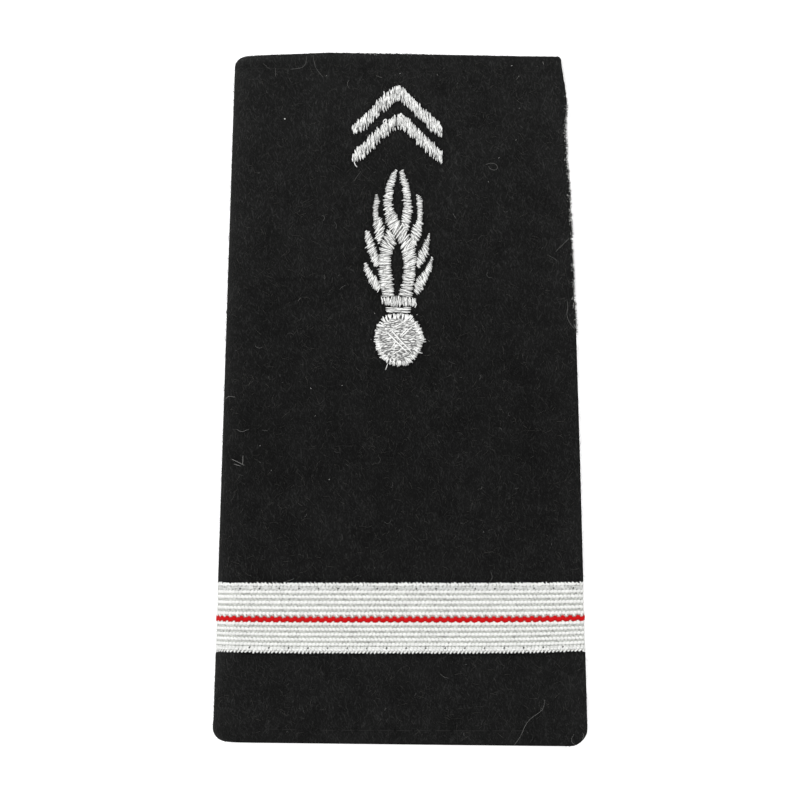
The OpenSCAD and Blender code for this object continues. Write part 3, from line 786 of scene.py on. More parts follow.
def embroider(name, line, stitches):
    """A strand of satin stitch. Stitches are pairs of [x, y] ends with a lift, tone and girth."""
    strand = ThreadGuide(*padding(line, PADDING_SHARE, PADDING_H))
    for a, b, up, shade, fat in stitches:
        strand.add([(x, y, felt_top(x, y) - SINK) for x, y in (a, b)], up + SINK, shade, fat)
    return strand.grow(name, silver_white, "silver_thread", THREAD_R, **SATIN)


def stitch(a, b, up, beat=0.0):
    """One stitch between two points: its ends, height, tone and girth."""
    return a, b, up + dice.normal(0, 0.07), dice.uniform(0.3, 1.2) + beat, dice.uniform(0.74, 1.05)


def satin(line, slants, pitch=0.215, ragged=0.09, inset=0.07, split_from=1.1, split=0.8, overlap=0.1):
    """Stitches across a strand's line, packed side by side, their ends a little ragged. A share of
    the wide ones is split in two that overlap a little."""
    line = refine(line, pitch)
    made = []
    for k, ((x, y, w), (nx, ny)) in enumerate(zip(line, sides(line))):
        beat = BEAT * (-1) ** k
        slant = math.radians(float(lookup((flame_tip - y) / FLAME_H, slants)))
        tilt = slant + dice.normal(0, 0.1)
        cos, sin = math.cos(tilt), math.sin(tilt)
        way = np.array([nx * cos - ny * sin, nx * sin + ny * cos])
        rough = ragged * (0.35 + 0.65 * min(1, w))
        reach = [max(0.06, w / 2 - inset + dice.normal(0, rough)) / math.cos(slant) for _ in range(2)]
        a, b = np.array([x, y]) + way * reach[0], np.array([x, y]) - way * reach[1]
        up = 0.3 + 0.2 * min(w, 1.9) + 0.15 * beat
        if w > split_from and dice.uniform() < split:
            t, off = dice.uniform(0.25, 0.75), dice.normal(0, 0.07, 2)
            made.append(stitch(a, a + (b - a) * (t + overlap) + off, up - 0.04, beat))
            made.append(stitch(a + (b - a) * (t - overlap) - off, b, up, beat))
        else:
            *one, fat = stitch(a, b, up, beat)
            made.append((*one, fat * (0.6 + 0.4 * min(1.0, w / FULL_GIRTH_W))))
    return line, made


def placed(rows, top, width, height, thick):
    """Shares of place across, fall and thickness as places and widths in mm."""
    return [(BADGE_X + a * width / 2, top - f * height, t * thick) for a, f, t in rows]


strands = []
for name, rows in FLAMES.items():
    rows = placed([(a, f, t) for f, a, t in rows], flame_tip, FLAME_W, FLAME_H, STRAND_W)
    line, stitches = satin(rows, SLANTS[name])
    strands.append(line)
    piece = embroider(name + "_thread", line, stitches)
    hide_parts(name)


def upright(line, pitch, thick, lean, ragged=0.1, ends=(1, 1), piece=(0.55, 1.15), sparse=0.3):
    """Rows of short stitches that cross a band nearly upright, one below the other. At the band's
    ends the lower halves are cut to a share, and a share of the lowest stitches is left out."""
    places, middles, widths = np.transpose(line)
    x0, x1 = places[0], places[-1]
    made = []
    for x in np.arange(x0, x1, pitch):
        x += dice.normal(0, 0.03)
        y, half = np.interp(x, places, middles), np.interp(x, places, widths) * thick / 2
        cut = np.interp(x, [x0, x0 + BAND_END, x1 - BAND_END, x1], [ends[0], 1, 1, ends[1]])
        comb = COMB_H * (abs((x / COMB_L) % 1 - 0.5) * 2 - 0.5)
        top, low = half + comb + dice.normal(0, ragged), half * cut + dice.normal(0, ragged * 0.7)
        at, over = top, 0.0
        while at > -low + SHORTEST:
            length = min(dice.uniform(*piece), at + low)
            tilt, off = lean + dice.normal(0, 0.09), dice.normal(0, 0.035)
            down = (top - at) / (top + low)
            if down < 0.45 or dice.uniform() > sparse:
                a, b = ((x + off + tilt * z, y + z) for z in (at + over, at - length))
                *one, shade, fat = stitch(a, b, 0.46 - 0.1 * down)
                # Painted shade: the lower a stitch lies in its band, the darker its tone.
                made.append((*one, shade - 0.25 * down, fat * 0.92))
            at, over = at - length, OVERLAP
    return made


for name, point in (("upper_chevron", upper_point), ("lower_chevron", lower_point)):
    line = refine(placed(CHEVRONS[name], point, CHEVRON_W, CHEVRON_FALL, CHEVRON_ARM), 0.3)
    strands.append(line)
    stitches = upright(line, 0.14, 1.12 / math.cos(arm_lean), -0.06, 0.12, (0.2, 0.65), (0.35, 0.8))
    piece = embroider(name + "_thread", line[2:-2], stitches)
    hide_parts(name)
collar = refine(placed(COLLAR, collar_top, COLLAR_W, COLLAR_H, COLLAR_H), 0.3)
neck = refine(placed(NECK, neck_top, NECK_W, NECK_H, NECK_H), 0.3)
strands += [collar, neck]
stitches = upright(collar, 0.18, 1.16, 0.0, 0.08, (0.8, 0.7), (0.45, 0.85), sparse=0.1)
piece = embroider("grenade_collar_thread", collar[1:-1], stitches)
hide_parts("grenade_collar")
# The neck's stitches lie level: place below the neck's top, then the ends across from 0 to 1
LEVEL = [(0.05, (0, 0.3, 0.72, 1)), (0.33, (0.01, 0.42, 0.66, 0.99)), (0.61, (0.03, 0.25, 0.6, 0.97))]
stitches = []
for fall, cuts in LEVEL:
    for start, stop in zip(cuts[:-1], cuts[1:]):
        a, b = (neck[0][0] + (neck[-1][0] - neck[0][0]) * e for e in (start - 0.02, stop + 0.02))
        y = neck_top - fall
        stitches.append(stitch((a, y + dice.normal(0, 0.05)), (b, y + dice.normal(0, 0.05)), 0.42))
piece = embroider("grenade_neck_thread", neck[1:-1], stitches)
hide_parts("grenade_neck")

# Ball of the grenade.
# The same thread: a border of short stitches that point at the middle, a filling that runs across,
# and a few long stitches laid over it in a cross.
BALL_SIDE, BALL_DOME = 0.2, 0.55  # mm, height of the padding at its edge and its dome
BALL_BED, BALL_FILL = 0.93, 0.84  # shares of the radius that the padding and the filling cover
FILL_SINK, CROSSING_TONE = 0.16, 1.3
# Outline as embroidered: direction in degrees, share of the ball's radius
BALL_EDGE = [(0, 0.93), (12, 0.97), (38, 0.985), (51, 0.99), (61, 1.08), (75, 1.05), (90, 1.025), (105, 1.05),
             (118, 1.08), (125, 1.07), (140, 1.02), (156, 1), (180, 0.95), (198, 0.93), (213, 0.98), (231, 1),
             (250, 1.01), (270, 1.02), (281, 1.03), (305, 0.945), (330, 0.91), (345, 0.88), (360, 0.91)]
BORDER_L = (0.6, 1.05)  # mm, shortest and longest stitch of the border
BORDER_N, FILL_PITCH = 104, 0.21
# Long stitches over the filling: x and y of both ends from the ball's middle, in mm, lift and girth
CROSSING = [(-1.3, 1.55, 1.85, -1.86, 0.46, 0.85), (-1.8, 1.15, 1.44, -2.05, 0.46, 0.85),
            (1.85, 1.9, 0.33, 0.38, 0.42, 0.8), (1.27, 1.73, 0.1, 0.55, 0.42, 0.8),
            (-0.9, 1.7, 0.52, 2.42, 0.36, 0.8), (0.5, 2.38, 1.27, 3.05, 0.36, 0.75),
            (0.6, 2.35, 1.35, 2.15, 0.22, 0.6), (-0.4, -0.15, -1.1, -1.15, 0.25, 0.75),
            (-0.1, -0.4, -0.75, -1.3, 0.24, 0.7), (-0.35, -1.75, 0.3, -1.35, 0.22, 0.75)]
ball_r = BALL_D / 2


def ball_top(x, y):
    """Height of the ball's padding over a point."""
    off = min(1.0, ((x - BADGE_X) ** 2 + (y - ball_y) ** 2) / ball_r ** 2)
    return felt_top(x, y) + BALL_SIDE * (off < 1) + BALL_DOME * (1 - off)


def from_ball(angle, r):
    return BADGE_X + math.cos(angle) * r, ball_y + math.sin(angle) * r


RINGS, SPOKES = 6, 36
points = [(BADGE_X, ball_y, ball_top(BADGE_X, ball_y) - 0.1)]
for r in range(1, RINGS + 1):
    for s in range(SPOKES):
        x, y = from_ball(math.tau * s / SPOKES, ball_r * BALL_BED * r / RINGS)
        points.append((x, y, ball_top(x, y) - 0.1 if r < RINGS else felt_top(x, y) - 0.25))
around = [(s, (s + 1) % SPOKES) for s in range(SPOKES)]
faces = [(0, 1 + s, 1 + n) for s, n in around]
for a in range(1, 1 + (RINGS - 1) * SPOKES, SPOKES):
    faces += [(a + s, a + SPOKES + s, a + SPOKES + n, a + n) for s, n in around]
faces.append(tuple(range(len(points) - SPOKES, len(points)))[::-1])
ball = ThreadGuide(points, faces)


def on_ball(angle, share):
    """A point of the ball at an angle and a share of the way to its edge."""
    return from_ball(angle, ball_r * share * lookup(math.degrees(angle) % 360, BALL_EDGE))


for y in np.arange(-0.8 * ball_r, 0.8 * ball_r, FILL_PITCH):
    half = math.sqrt(max(0, (BALL_FILL * ball_r) ** 2 - y * y))
    wild = 0.1 + 0.5 * max(0.0, -y / ball_r - 0.1)  # the lower half is laid less evenly
    x = -half + dice.uniform(-0.4, 0)
    while x < half:
        length, tilt, drop = dice.uniform(0.45, 1.0), dice.normal(0, wild), dice.normal(0, 0.035)
        a = (BADGE_X + x, ball_y + y + drop)
        b = (BADGE_X + x + length * math.cos(tilt), ball_y + y + drop + length * math.sin(tilt))
        ball.add([(*end, ball_top(*end) - FILL_SINK) for end in (a, b)], 0.25 + dice.normal(0, 0.07),
                 dice.uniform(0.0, 1.12), dice.uniform(0.72, 1.1))
        x += length + dice.choice([-0.04, 0.1])
for s in range(BORDER_N):
    a = math.tau * (s + dice.normal(0, 0.15)) / BORDER_N
    out = on_ball(a, 0.98 + dice.normal(0.0, 0.025))
    into = on_ball(a + dice.normal(0, 0.06), 1 - dice.uniform(*BORDER_L) / ball_r)
    ball.add([(*out, felt_top(*out) - 0.12), (*into, ball_top(*into) - 0.14)], 0.42 + dice.normal(0, 0.07),
             dice.uniform(0.35, 1.2), dice.uniform(0.9, 1.2))
for x0, y0, x1, y1, up, fat in CROSSING:
    ends = (BADGE_X + x0, ball_y + y0), (BADGE_X + x1, ball_y + y1)
    ball.add([(*end, ball_top(*end)) for end in ends], up, CROSSING_TONE, fat)
piece = ball.grow("grenade_ball_thread", silver_white, "silver_thread", THREAD_R,
                  **{**SATIN, "Wander": 0.00013, "Taper": 0.45, "Fade": 0.6})
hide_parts("grenade_ball")

# Slack stitches stand out as small loops: girth, then the places that each passes, in mm
SLACK = [
    (0.8, [(-2.27, 38.85), (-2.38, 39.3), (-2.2, 39.58), (-1.95, 39.66), (-1.84, 39.4), (-1.98, 39.0)]),
    (0.7, [(-0.08, 40.0), (0.0, 40.32), (0.15, 40.52), (0.3, 40.3), (0.36, 39.9)]),
    (0.8, [(1.8, 14.15), (2.1, 13.95), (2.3, 13.5), (2.22, 13.2), (2.08, 13.0)]),
    (0.7, [(-6.5, 33.7), (-6.35, 33.2), (-6.05, 32.85)]),
    (0.5, [(-1.72, 5.15), (-1.88, 4.65), (-2.05, 4.2)]),
]
slack = ThreadGuide()
for fat, path in SLACK:
    line = refine([(x, y, 1) for x, y in path], 0.08)
    arch = 0.02 + 0.35 * np.sin(math.pi * np.linspace(0, 1, len(line)))
    slack.add([(x, y, felt_top(x, y) + up) for (x, y, _), up in zip(line, arch)], 0.0, 0.8, fat)
slack.grow("slack_stitches", silver_white, "silver_thread", 0.09, Points=16, Sides=6, Flatness=2.0,
           Taper=0.4)

# The stitches draw the felt down along the outline of each strand and of the ball
DRAWN_IN, DRAWN_RUN = 0.17, 0.45  # mm
rim = np.radians(np.arange(0, 360, 5))
ball_outline = [BADGE_X + ball_r * 0.72 * np.cos(rim), ball_y + ball_r * 0.76 * np.sin(rim),
                np.full(len(rim), ball_r * 0.5)]
outline = np.vstack(strands + [np.stack(ball_outline, 1)])
vertices = felt.data.vertices
places = np.empty(len(vertices) * 3)
vertices.foreach_get("co", places)
places = places.reshape(-1, 3) / MM
near = np.flatnonzero((places[:, 1] > BADGE_LOW) & (np.abs(places[:, 0] - BADGE_X) < 7.5)
                      & (places[:, 2] > FRONT_MIDDLE + 0.3))
off = (np.hypot(places[near, None, 0] - outline[None, :, 0], places[near, None, 1] - outline[None, :, 1])
       - outline[None, :, 2] / 2).min(1)
places[near, 2] -= DRAWN_IN * np.exp(-(np.maximum(off, 0) / DRAWN_RUN) ** 2)
vertices.foreach_set("co", (places * MM).ravel())

PICK = 0.533  # mm, step of the weft along a cord
CORE_T, CORE_ROUND = 0.3, 0.25  # mm, thickness of the band between the loops, rounding of its edges
CORE_LOW, CORE_HIGH = -4.87, 4.95  # mm, the band's edges, from the braid's middle
SIDE_LOW, BACK_LOW = 0.6, 0.8  # how much the cords are pulled flat at the sides and pressed at the back
SIDE_IN, LEFT_OUT, RIGHT_OUT = 0.025, 0.12, 0.22  # share and mm, how the band narrows and rises at the sides
EDGE_R = 0.3  # mm, radius of the band's bend at the right


def braid_path(y):
    """Inner face of the braid in the section, from its right end on the back to its left end."""
    fx, fz, half = fold(y, PRESS_IN)
    right = edges(y)[1]
    tx = right - WALL_IN - TURN_R - PRESS_IN
    side, low, out, r = right - PRESS_IN + LAY_GAP, PRESS_IN, FELT_T / 2 + LAY_GAP, TURN_R + LAY_GAP
    top = FRONT_TOP + float(rise(side, y)) + LAY_GAP
    x = np.linspace(side, fx, 60)[1:-1]
    return np.vstack([
        [(tx - BRAID_TUCK + TURN_R, low)], arc(tx, low + r, side - tx, r, -90, 0, 8),
        arc(side - EDGE_R, top - EDGE_R, EDGE_R, EDGE_R, 0, 90, 4),
        np.stack([x, FRONT_TOP + rise(x, y) + LAY_GAP], 1),
        arc(fx, fz, FOLD_D - FELT_T / 2 + out, half + out, 90, 270, 20),
        [(fx + BRAID_TUCK - FOLD_D, low)]])


def band_y(x, v):
    """Where a line v from the braid's middle lies along Y: the band rises a little at its sides."""
    u = across(x, BRAID_Y)
    return BRAID_Y + 0.06 + v * (1 - SIDE_IN * u ** 4) + np.where(u < 0, LEFT_OUT, RIGHT_OUT) * u ** 4


# The ground between the cords lies in their shade, darkest where the weft dives between two picks
band_grey, tree, shader = new_material("braid ground", (0.45, 0.455, 0.44), 0.8)
spots = ranged(tree, noise_at(tree, millimetres(tree), 4.5, 1.0), 0.3, 0.62)
feed(tree, shader, {"Base Color": blend(tree, spots, (0.29, 0.295, 0.28), (0.66, 0.67, 0.64))})

# Rows of loops: distance from the braid's middle, half length along, half width across and half
# height, slant in degrees, step in picks, start in picks, tone, unevenness
LOOPS = [
    (4.95, 0.2, 0.12, 0.16, -45, 1, 0.3, 0.9, 0.7), (4.78, 0.32, 0.2, 0.2, 12, 1, 0.0, 0.95, 0.5),
    (4.38, 0.28, 0.2, 0.1, 30, 1, 0.2, 0.5, 0.9), (4.12, 0.26, 0.16, 0.08, -20, 1, 0.7, 0.45, 0.9),
    (3.76, 0.33, 0.22, 0.23, 18, 1, 0.0, 1.0, 0.12), (3.04, 0.33, 0.23, 0.24, -16, 1, 0.5, 1.0, 0.12),
    (2.26, 0.33, 0.23, 0.24, 18, 1, 0.0, 1.0, 0.12), (1.48, 0.33, 0.23, 0.24, -16, 1, 0.5, 1.0, 0.12),
    # The row at 0.38 has a tone above one: painted light that keeps its short strokes white beside the red
    # loops' shade.
    (0.68, 0.32, 0.24, 0.24, 18, 1, 0.0, 1.0, 0.12), (0.38, 0.13, 0.27, 0.29, 32, 2, 0.17, 1.35, 0.12),
    (-0.58, 0.2, 0.2, 0.16, 0, 2, 1.17, 0.95, 0.2), (-0.77, 0.32, 0.23, 0.24, 16, 1, 0.17, 1.0, 0.12),
    (-1.54, 0.32, 0.22, 0.24, -18, 1, 0.67, 1.0, 0.12), (-2.26, 0.32, 0.22, 0.24, 16, 1, 0.17, 1.0, 0.12),
    (-2.98, 0.32, 0.22, 0.24, -18, 1, 0.67, 1.0, 0.12), (-3.68, 0.32, 0.22, 0.23, 16, 1, 0.17, 1.0, 0.12),
    (-4.2, 0.3, 0.2, 0.12, -8, 1, 0.3, 0.75, 0.3), (-4.45, 0.3, 0.17, 0.15, -8, 1, 0.5, 0.9, 0.3),
    (-4.78, 0.13, 0.25, 0.17, -38, 1, 0.0, 0.9, 0.35),
]
# Painted shade: each loop is darker at its two ends, where it dives under the next one
loop_end_shade, given, result = shader_group(
    "painted shade at loop ends", {"Color": ("Color", (1, 1, 1, 1)), "Place": ("Float", 0.0), "Depth": ("Float", 0.5)},
    {"Color": "Color"})
far = ranged(loop_end_shade, calc(loop_end_shade, "ABSOLUTE", given["Place"]), 0.7, 1.0)
kept = calc(loop_end_shade, "SUBTRACT", 1.0, calc(loop_end_shade, "MULTIPLY", far, given["Depth"]))
feed(loop_end_shade, result, {"Color": scaled(loop_end_shade, given["Color"], kept)})


def loop_material(name, light, dark, roughness, depth, **sockets):
    """Yarn as it shows in loops, with a depth of shade at the ends of each."""
    material, tree, shader, look = yarn_material(name, light, dark, roughness, 3.0, 0.4, 0.03, **sockets)
    feed(tree, shader, {"Base Color": add_group(tree, loop_end_shade, Color=look, Place=attribute(tree, "round"),
                                                Depth=depth)})
    return material


braid_white = loop_material("white braid yarn", (0.96, 0.965, 0.945), (0.4, 0.405, 0.39), 0.6, 0.3,
                            Sheen_Weight=0.1)


def chance(tree, low, high, seed):
    """A random value for each point or instance."""
    return put(tree, "RandomValue", {2: low, 3: high, "Seed": seed}, data_type="FLOAT")


def vector(tree, operation, first, second):
    return put(tree, "VectorMath", {0: first, 1: second}, operation=operation)


# A row of loops along each edge chain of the guide, turned by its "out" and its own "slant". A
# "Roundness" below one makes the loops squarer.
loops, g = node_tree("loops", {"Seed": ("Int", 5), "Segments": ("Int", 8), "Rings": ("Int", 5),
                               "Roundness": ("Float", 0.7), "Material": "Material"})
lines = put(loops, "MeshToCurve", {"Mesh": g["Geometry"]})
lines = put(loops, "ResampleCurve", {"Curve": lines, "Length": field(loops, "step")}, mode="LENGTH")
facing = put(loops, "AxesToRotation",
             {"Primary Axis": field(loops, "out", "FLOAT_VECTOR"),
              "Secondary Axis": put(loops, "InputTangent")}, primary_axis="Z", secondary_axis="X")
wild = field(loops, "wild")
lean = calc(loops, "MULTIPLY_ADD", chance(loops, -1.0, 1.0, g["Seed"]), wild, field(loops, "slant"))
twist = put(loops, "EulerToRotation", {0: put(loops, "CombineXYZ", {"Z": lean})})
facing = put(loops, "RotateRotation", {0: facing, 1: twist}, rotation_space="LOCAL")
vary = put(loops, "RandomValue", {0: (-1.0, -1.0, -1.0), 1: (1.0, 1.0, 1.0), "Seed": g["Seed"]},
           data_type="FLOAT_VECTOR")
vary = scaled(loops, vary, calc(loops, "MULTIPLY_ADD", wild, 0.5, 0.02))
vary = vector(loops, "ADD", vary, (1.0, 1.0, 1.0))
sizes = vector(loops, "MULTIPLY", vary, field(loops, "size", "FLOAT_VECTOR"))
shade = calc(loops, "ADD", field(loops, "tone"), chance(loops, -0.35, 0.0, 12))
lines = store(loops, lines, "tone", shade)
bead = put(loops, "MeshUVSphere", {"Segments": g["Segments"], "Rings": g["Rings"], "Radius": 1.0})
spot = put(loops, "SeparateXYZ", {0: put(loops, "InputPosition")}).outputs
square = {"Z": spot["Z"]}
for axis in "XY":
    size = calc(loops, "POWER", calc(loops, "ABSOLUTE", spot[axis]), g["Roundness"])
    square[axis] = calc(loops, "MULTIPLY", size, calc(loops, "SIGN", spot[axis]))
square = put(loops, "CombineXYZ", square)
bead = put(loops, "SetPosition", {"Geometry": bead, "Position": square})
for label, axis in (("along", "Y"), ("round", "X")):
    bead = store(loops, bead, label, spot[axis])
beads = put(loops, "InstanceOnPoints",
            {"Points": lines, "Instance": bead, "Rotation": facing, "Scale": sizes})
finish_tree(loops, beads, g["Material"])


def on_braid(v, level):
    """Points and outward directions of a line along the braid, at a level above its inner face."""
    path = braid_path(BRAID_Y + v)
    base = beside(path, -level)
    step = unit_steps(np.gradient(path, axis=0))
    places = np.stack([base[:, 0], band_y(base[:, 0], v), base[:, 1]], 1)
    return places, np.stack([step[:, 1], np.zeros(len(step)), -step[:, 0]], 1)


def loops_guide(rows, level):
    """Edge chains for rows of loops at a level above the braid's inner face, with their attributes."""
    points, links, data = [], [], {key: [] for key in ("out", "size", "slant", "step", "tone", "wild")}
    for v, half_l, half_w, half_h, slant, step, start, shade, uneven in rows:
        places, out = on_braid(v, level)
        gone = distances(places)
        count = int((gone[-1] - 1.0) / (step * PICK))
        first = 0.3 + start * PICK
        fine = np.linspace(first, first + count * step * PICK, count * 4 + 1)
        links += [(i, i + 1) for i in range(len(points), len(points) + len(fine) - 1)]
        points += list(resample(places, gone, fine))
        for facing in resample(out, gone, fine):
            flat = max(SIDE_LOW * abs(facing[0]), -BACK_LOW * facing[2])
            row = (facing, (half_l * MM, half_w * MM, half_h * MM * (1 - flat)), math.radians(slant),
                   step * PICK * MM, shade, uneven)
            for key, value in zip(data, row):
                data[key].append(value)
    return guide_mesh(points, links, **data)


# Lines along the band, as distances from the braid's middle
CORE_LINES = [-4.82, -4.74, -4.6, -3.9, -3.2, -2.4, -1.6, -0.9, -0.55, -0.35, 0.0, 0.35, 0.55, 0.9, 1.6,
              2.4, 3.2, 3.9, 4.6, 4.82, 4.9]
core_points = []
for v in CORE_LINES:
    t = CORE_T * rounding(min(CORE_HIGH - v, v - CORE_LOW), CORE_ROUND)
    core_points += [on_braid(v, t)[0], on_braid(v, 0.02)[0][::-1]]
core_faces = wall_faces(len(CORE_LINES), len(core_points[0]))
core_points = np.vstack(core_points)
braid = new_piece("braid_band", core_points, outward(core_points, core_faces), band_grey)
weft = grow("braid_loops", loops_guide(LOOPS, CORE_T + 0.05), loops, braid_white, "braid")
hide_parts("braid")

# Red line.
# One thick red yarn woven along the middle of the braid: it goes up and down from pick to pick, so
# it shows as two rows of red loops set between each other.
red_yarn = loop_material("red yarn", (0.61, 0.008, 0.01), (0.3, 0.002, 0.004), 0.7, 0.5,
                         Specular_IOR_Level=0.05)
RED_LOOPS = [(-0.03, 0.32, 0.33, 0.23, -10, 2, 1.17, 1.1, 0.12),
             (-0.25, 0.42, 0.33, 0.24, 10, 2, 0.17, 1.0, 0.12)]
red = grow("red_line_yarn", loops_guide(RED_LOOPS, CORE_T + 0.06), loops, red_yarn, "red_thread",
           Segments=10, Rings=6, Roundness=0.55, Seed=9)
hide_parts("red_line")

# Sewing thread.
# The braid is sewn on near both of its edges, where short dark stitches between its cords stand for
# the needle holes: dark with the black felt beneath and with painted shade. Rows of black lockstitch
# close the hems at both ends of the felt.
sewing_black = yarn_material("black sewing thread", (0.018, 0.018, 0.0175), (0.008, 0.008, 0.008), 0.7, 2.5,
                             0.6, 0.02, Specular_IOR_Level=0.1)[0]
SEW_STEP, SEW_R, SEW_TONE = 2.77, 0.085, 0.5  # mm along the braid, mm, the thread's radius
HEM_R, HEM_SUNK = 0.09, 0.45  # mm, radius of a hem's thread and how deep it enters
seams = ThreadGuide()
for v, first in ((4.22, -22.6), (-4.2, -21.3)):
    for x in np.arange(first, 24.9, SEW_STEP):
        y = float(band_y(x, v))
        z = felt_top(x, y) + LAY_GAP + CORE_T + 0.03
        seams.add([(x + 0.05 * e, y + 0.07 * e, z) for e in (-1, 1)], 0.14, SEW_TONE, 1.0)
for row_holes in holes:
    for (x0, y0), (x1, y1) in zip(row_holes[:-1], row_holes[1:]):
        ends = [(x0 + 0.1, y0, felt_top(x0, y0) - HEM_SUNK), (x1 - 0.1, y1, felt_top(x1, y1) - HEM_SUNK)]
        seams.add(ends, dice.uniform(0.24, 0.37), SEW_TONE, HEM_R / SEW_R)
seams.grow("sewing_stitches", sewing_black, "felt", SEW_R, Points=9, Sides=6, Flatness=5.0, Taper=0.3)

# Nap of the felt.
# Short curled wool fibres that stand out of the felt all over and hang over its cut edges.
nap, g = node_tree("nap", {
    "Where": ("String", "nap_front"), "Density": ("Float", 1e6), "Shortest": ("Float", 0.0005),
    "Longest": ("Float", 0.002), "Radius": ("Float", 0.00002), "Lift": ("Float", 0.2), "Curl": ("Float", 0.3),
    "Seed": ("Int", 1), "Material": "Material"})
thick = calc(nap, "MULTIPLY", g["Density"], field(nap, g["Where"]))
roots = put(nap, "DistributePointsOnFaces", {"Mesh": g["Geometry"], "Density": thick, "Seed": g["Seed"]})
turned = put(nap, "CombineXYZ", {"Z": chance(nap, 0.0, math.tau, g["Seed"])})
twist = put(nap, "EulerToRotation", {0: turned})
way = put(nap, "RotateRotation", {0: roots.outputs["Rotation"], 1: twist}, rotation_space="LOCAL")
high = calc(nap, "MULTIPLY", g["Lift"], 1.2)
fibre = put(nap, "CurveQuadraticBezier",
            {"Resolution": 4, "Start": (0, 0, -0.02),
             "Middle": put(nap, "CombineXYZ", {"X": 0.5, "Y": 0.12, "Z": high}),
             "End": put(nap, "CombineXYZ", {"X": 1.0, "Z": g["Lift"]})})
hairs = put(nap, "InstanceOnPoints",
            {"Points": roots.outputs["Points"], "Instance": fibre, "Rotation": way,
             "Scale": chance(nap, g["Shortest"], g["Longest"], 77)})
hairs = store(nap, hairs, "tone", chance(nap, 0.0, 1.0, 31), "INSTANCE")
hairs = put(nap, "RealizeInstances", {"Geometry": hairs})
there = put(nap, "SplineParameter").outputs["Factor"]
curl = calc(nap, "MULTIPLY", calc(nap, "MULTIPLY", g["Curl"], g["Longest"]), there)
hairs = moved(nap, hairs, wandering(nap, 900.0, 2.0, curl))
slim = calc(nap, "MULTIPLY", calc(nap, "MULTIPLY_ADD", there, -0.75, 1.0), g["Radius"])
ring = put(nap, "CurvePrimitiveCircle", {"Resolution": 3, "Radius": 1.0})
tubes = put(nap, "CurveToMesh", {"Curve": hairs, "Profile Curve": ring, "Scale": slim, "Fill Caps": True})
finish_tree(nap, tubes, g["Material"])

wool_grey, tree, shader = new_material("loose wool", (0.05, 0.05, 0.046), 0.8, Specular_IOR_Level=0.2)
paleness = ranged(tree, attribute(tree, "tone"), 0.55, 1.0)
feed(tree, shader, {"Base Color": blend(tree, paleness, (0.013, 0.013, 0.013), (0.089, 0.086, 0.078))})


def felt_weights(rule):
    """A point attribute on the felt from a rule of ring place, column and plan position."""
    weights = np.zeros((len(felt_places), 2 * wall_n), np.float32)
    for k, y in enumerate(felt_places):
        for i in range(wall_n):
            weights[k, i] = rule(y, i, felt_points[k, i])
        weights[k, -1] = weights[k, 0]
    return weights.ravel()


BARE_SHARE = 0.45  # share of a strand's width, from its middle, under which the felt grows no nap


def bare(x, y):
    """Whether a point of the front is clear of the braid and the badge."""
    if abs(y - BRAID_Y) < BRAID_W / 2 + 0.1:
        return 0.0
    if np.hypot(x - BADGE_X, y - ball_y) < ball_r:
        return 0.0
    return float(not any((np.hypot(s[:, 0] - x, s[:, 1] - y) < s[:, 2] * BARE_SHARE).any() for s in strands))


TORN_FROM, TORN_TO = 9.5, 42.0  # mm, the stretch of the raw edge that is frayed
# Where the nap stands, from the place along, the column and the point
ZONES = {
    "nap_front": lambda y, i, p: bare(p[0], p[1]) if i < fold_end and abs(y) < SLEEVE_L / 2 - 0.9 else 0.0,
    "nap_edge": lambda y, i, p: fluffy(p[0]) * (y > SLEEVE_L / 2 - 0.1 and i < fold_end),
    "nap_raw": lambda y, i, p: float(i == 0 and TORN_FROM < y < TORN_TO),
    "nap_back": lambda y, i, p: float(bare(99, y)) if i >= fold_end and p[2] > 1.0 else 0.0,
}
# Zone, fibres per square metre, shortest and longest, radius, all in m, lift, curl and seed
NAPS = {
    "nap_of_front": ("nap_front", 1.72e6, 0.0003, 0.0013, 0.00002, 0.16, 0.45, 3),
    "nap_of_narrow_end": ("nap_edge", 45e6, 0.00008, 0.00024, 0.00002, 0.4, 0.5, 4),
    "nap_of_raw_edge": ("nap_raw", 42e6, 0.0001, 0.00028, 0.000034, 1.1, 0.6, 6),
    "nap_of_back": ("nap_back", 0.9e6, 0.0003, 0.0012, 0.000022, 0.16, 0.45, 5)}
guide = felt.data.copy()
for zone, rule in ZONES.items():
    guide.attributes.new(zone, "FLOAT", "POINT").data.foreach_set("value", felt_weights(rule))
for name, row in NAPS.items():
    settings = zip(("Where", "Density", "Shortest", "Longest", "Radius", "Lift", "Curl", "Seed"), row)
    grow(name, guide.copy(), nap, wool_grey, "felt", **dict(settings))

# Lint.
# Loose pale fibres and specks of dust that cling to the felt, as on any worn dark wool.
lint_pale, tree, shader = new_material("pale lint", (0.5, 0.49, 0.46), 0.8, Specular_IOR_Level=0.2)
lint_look = blend(tree, attribute(tree, "tone"), (0.03, 0.03, 0.029), (0.62, 0.62, 0.6))
feed(tree, shader, {"Base Color": lint_look})
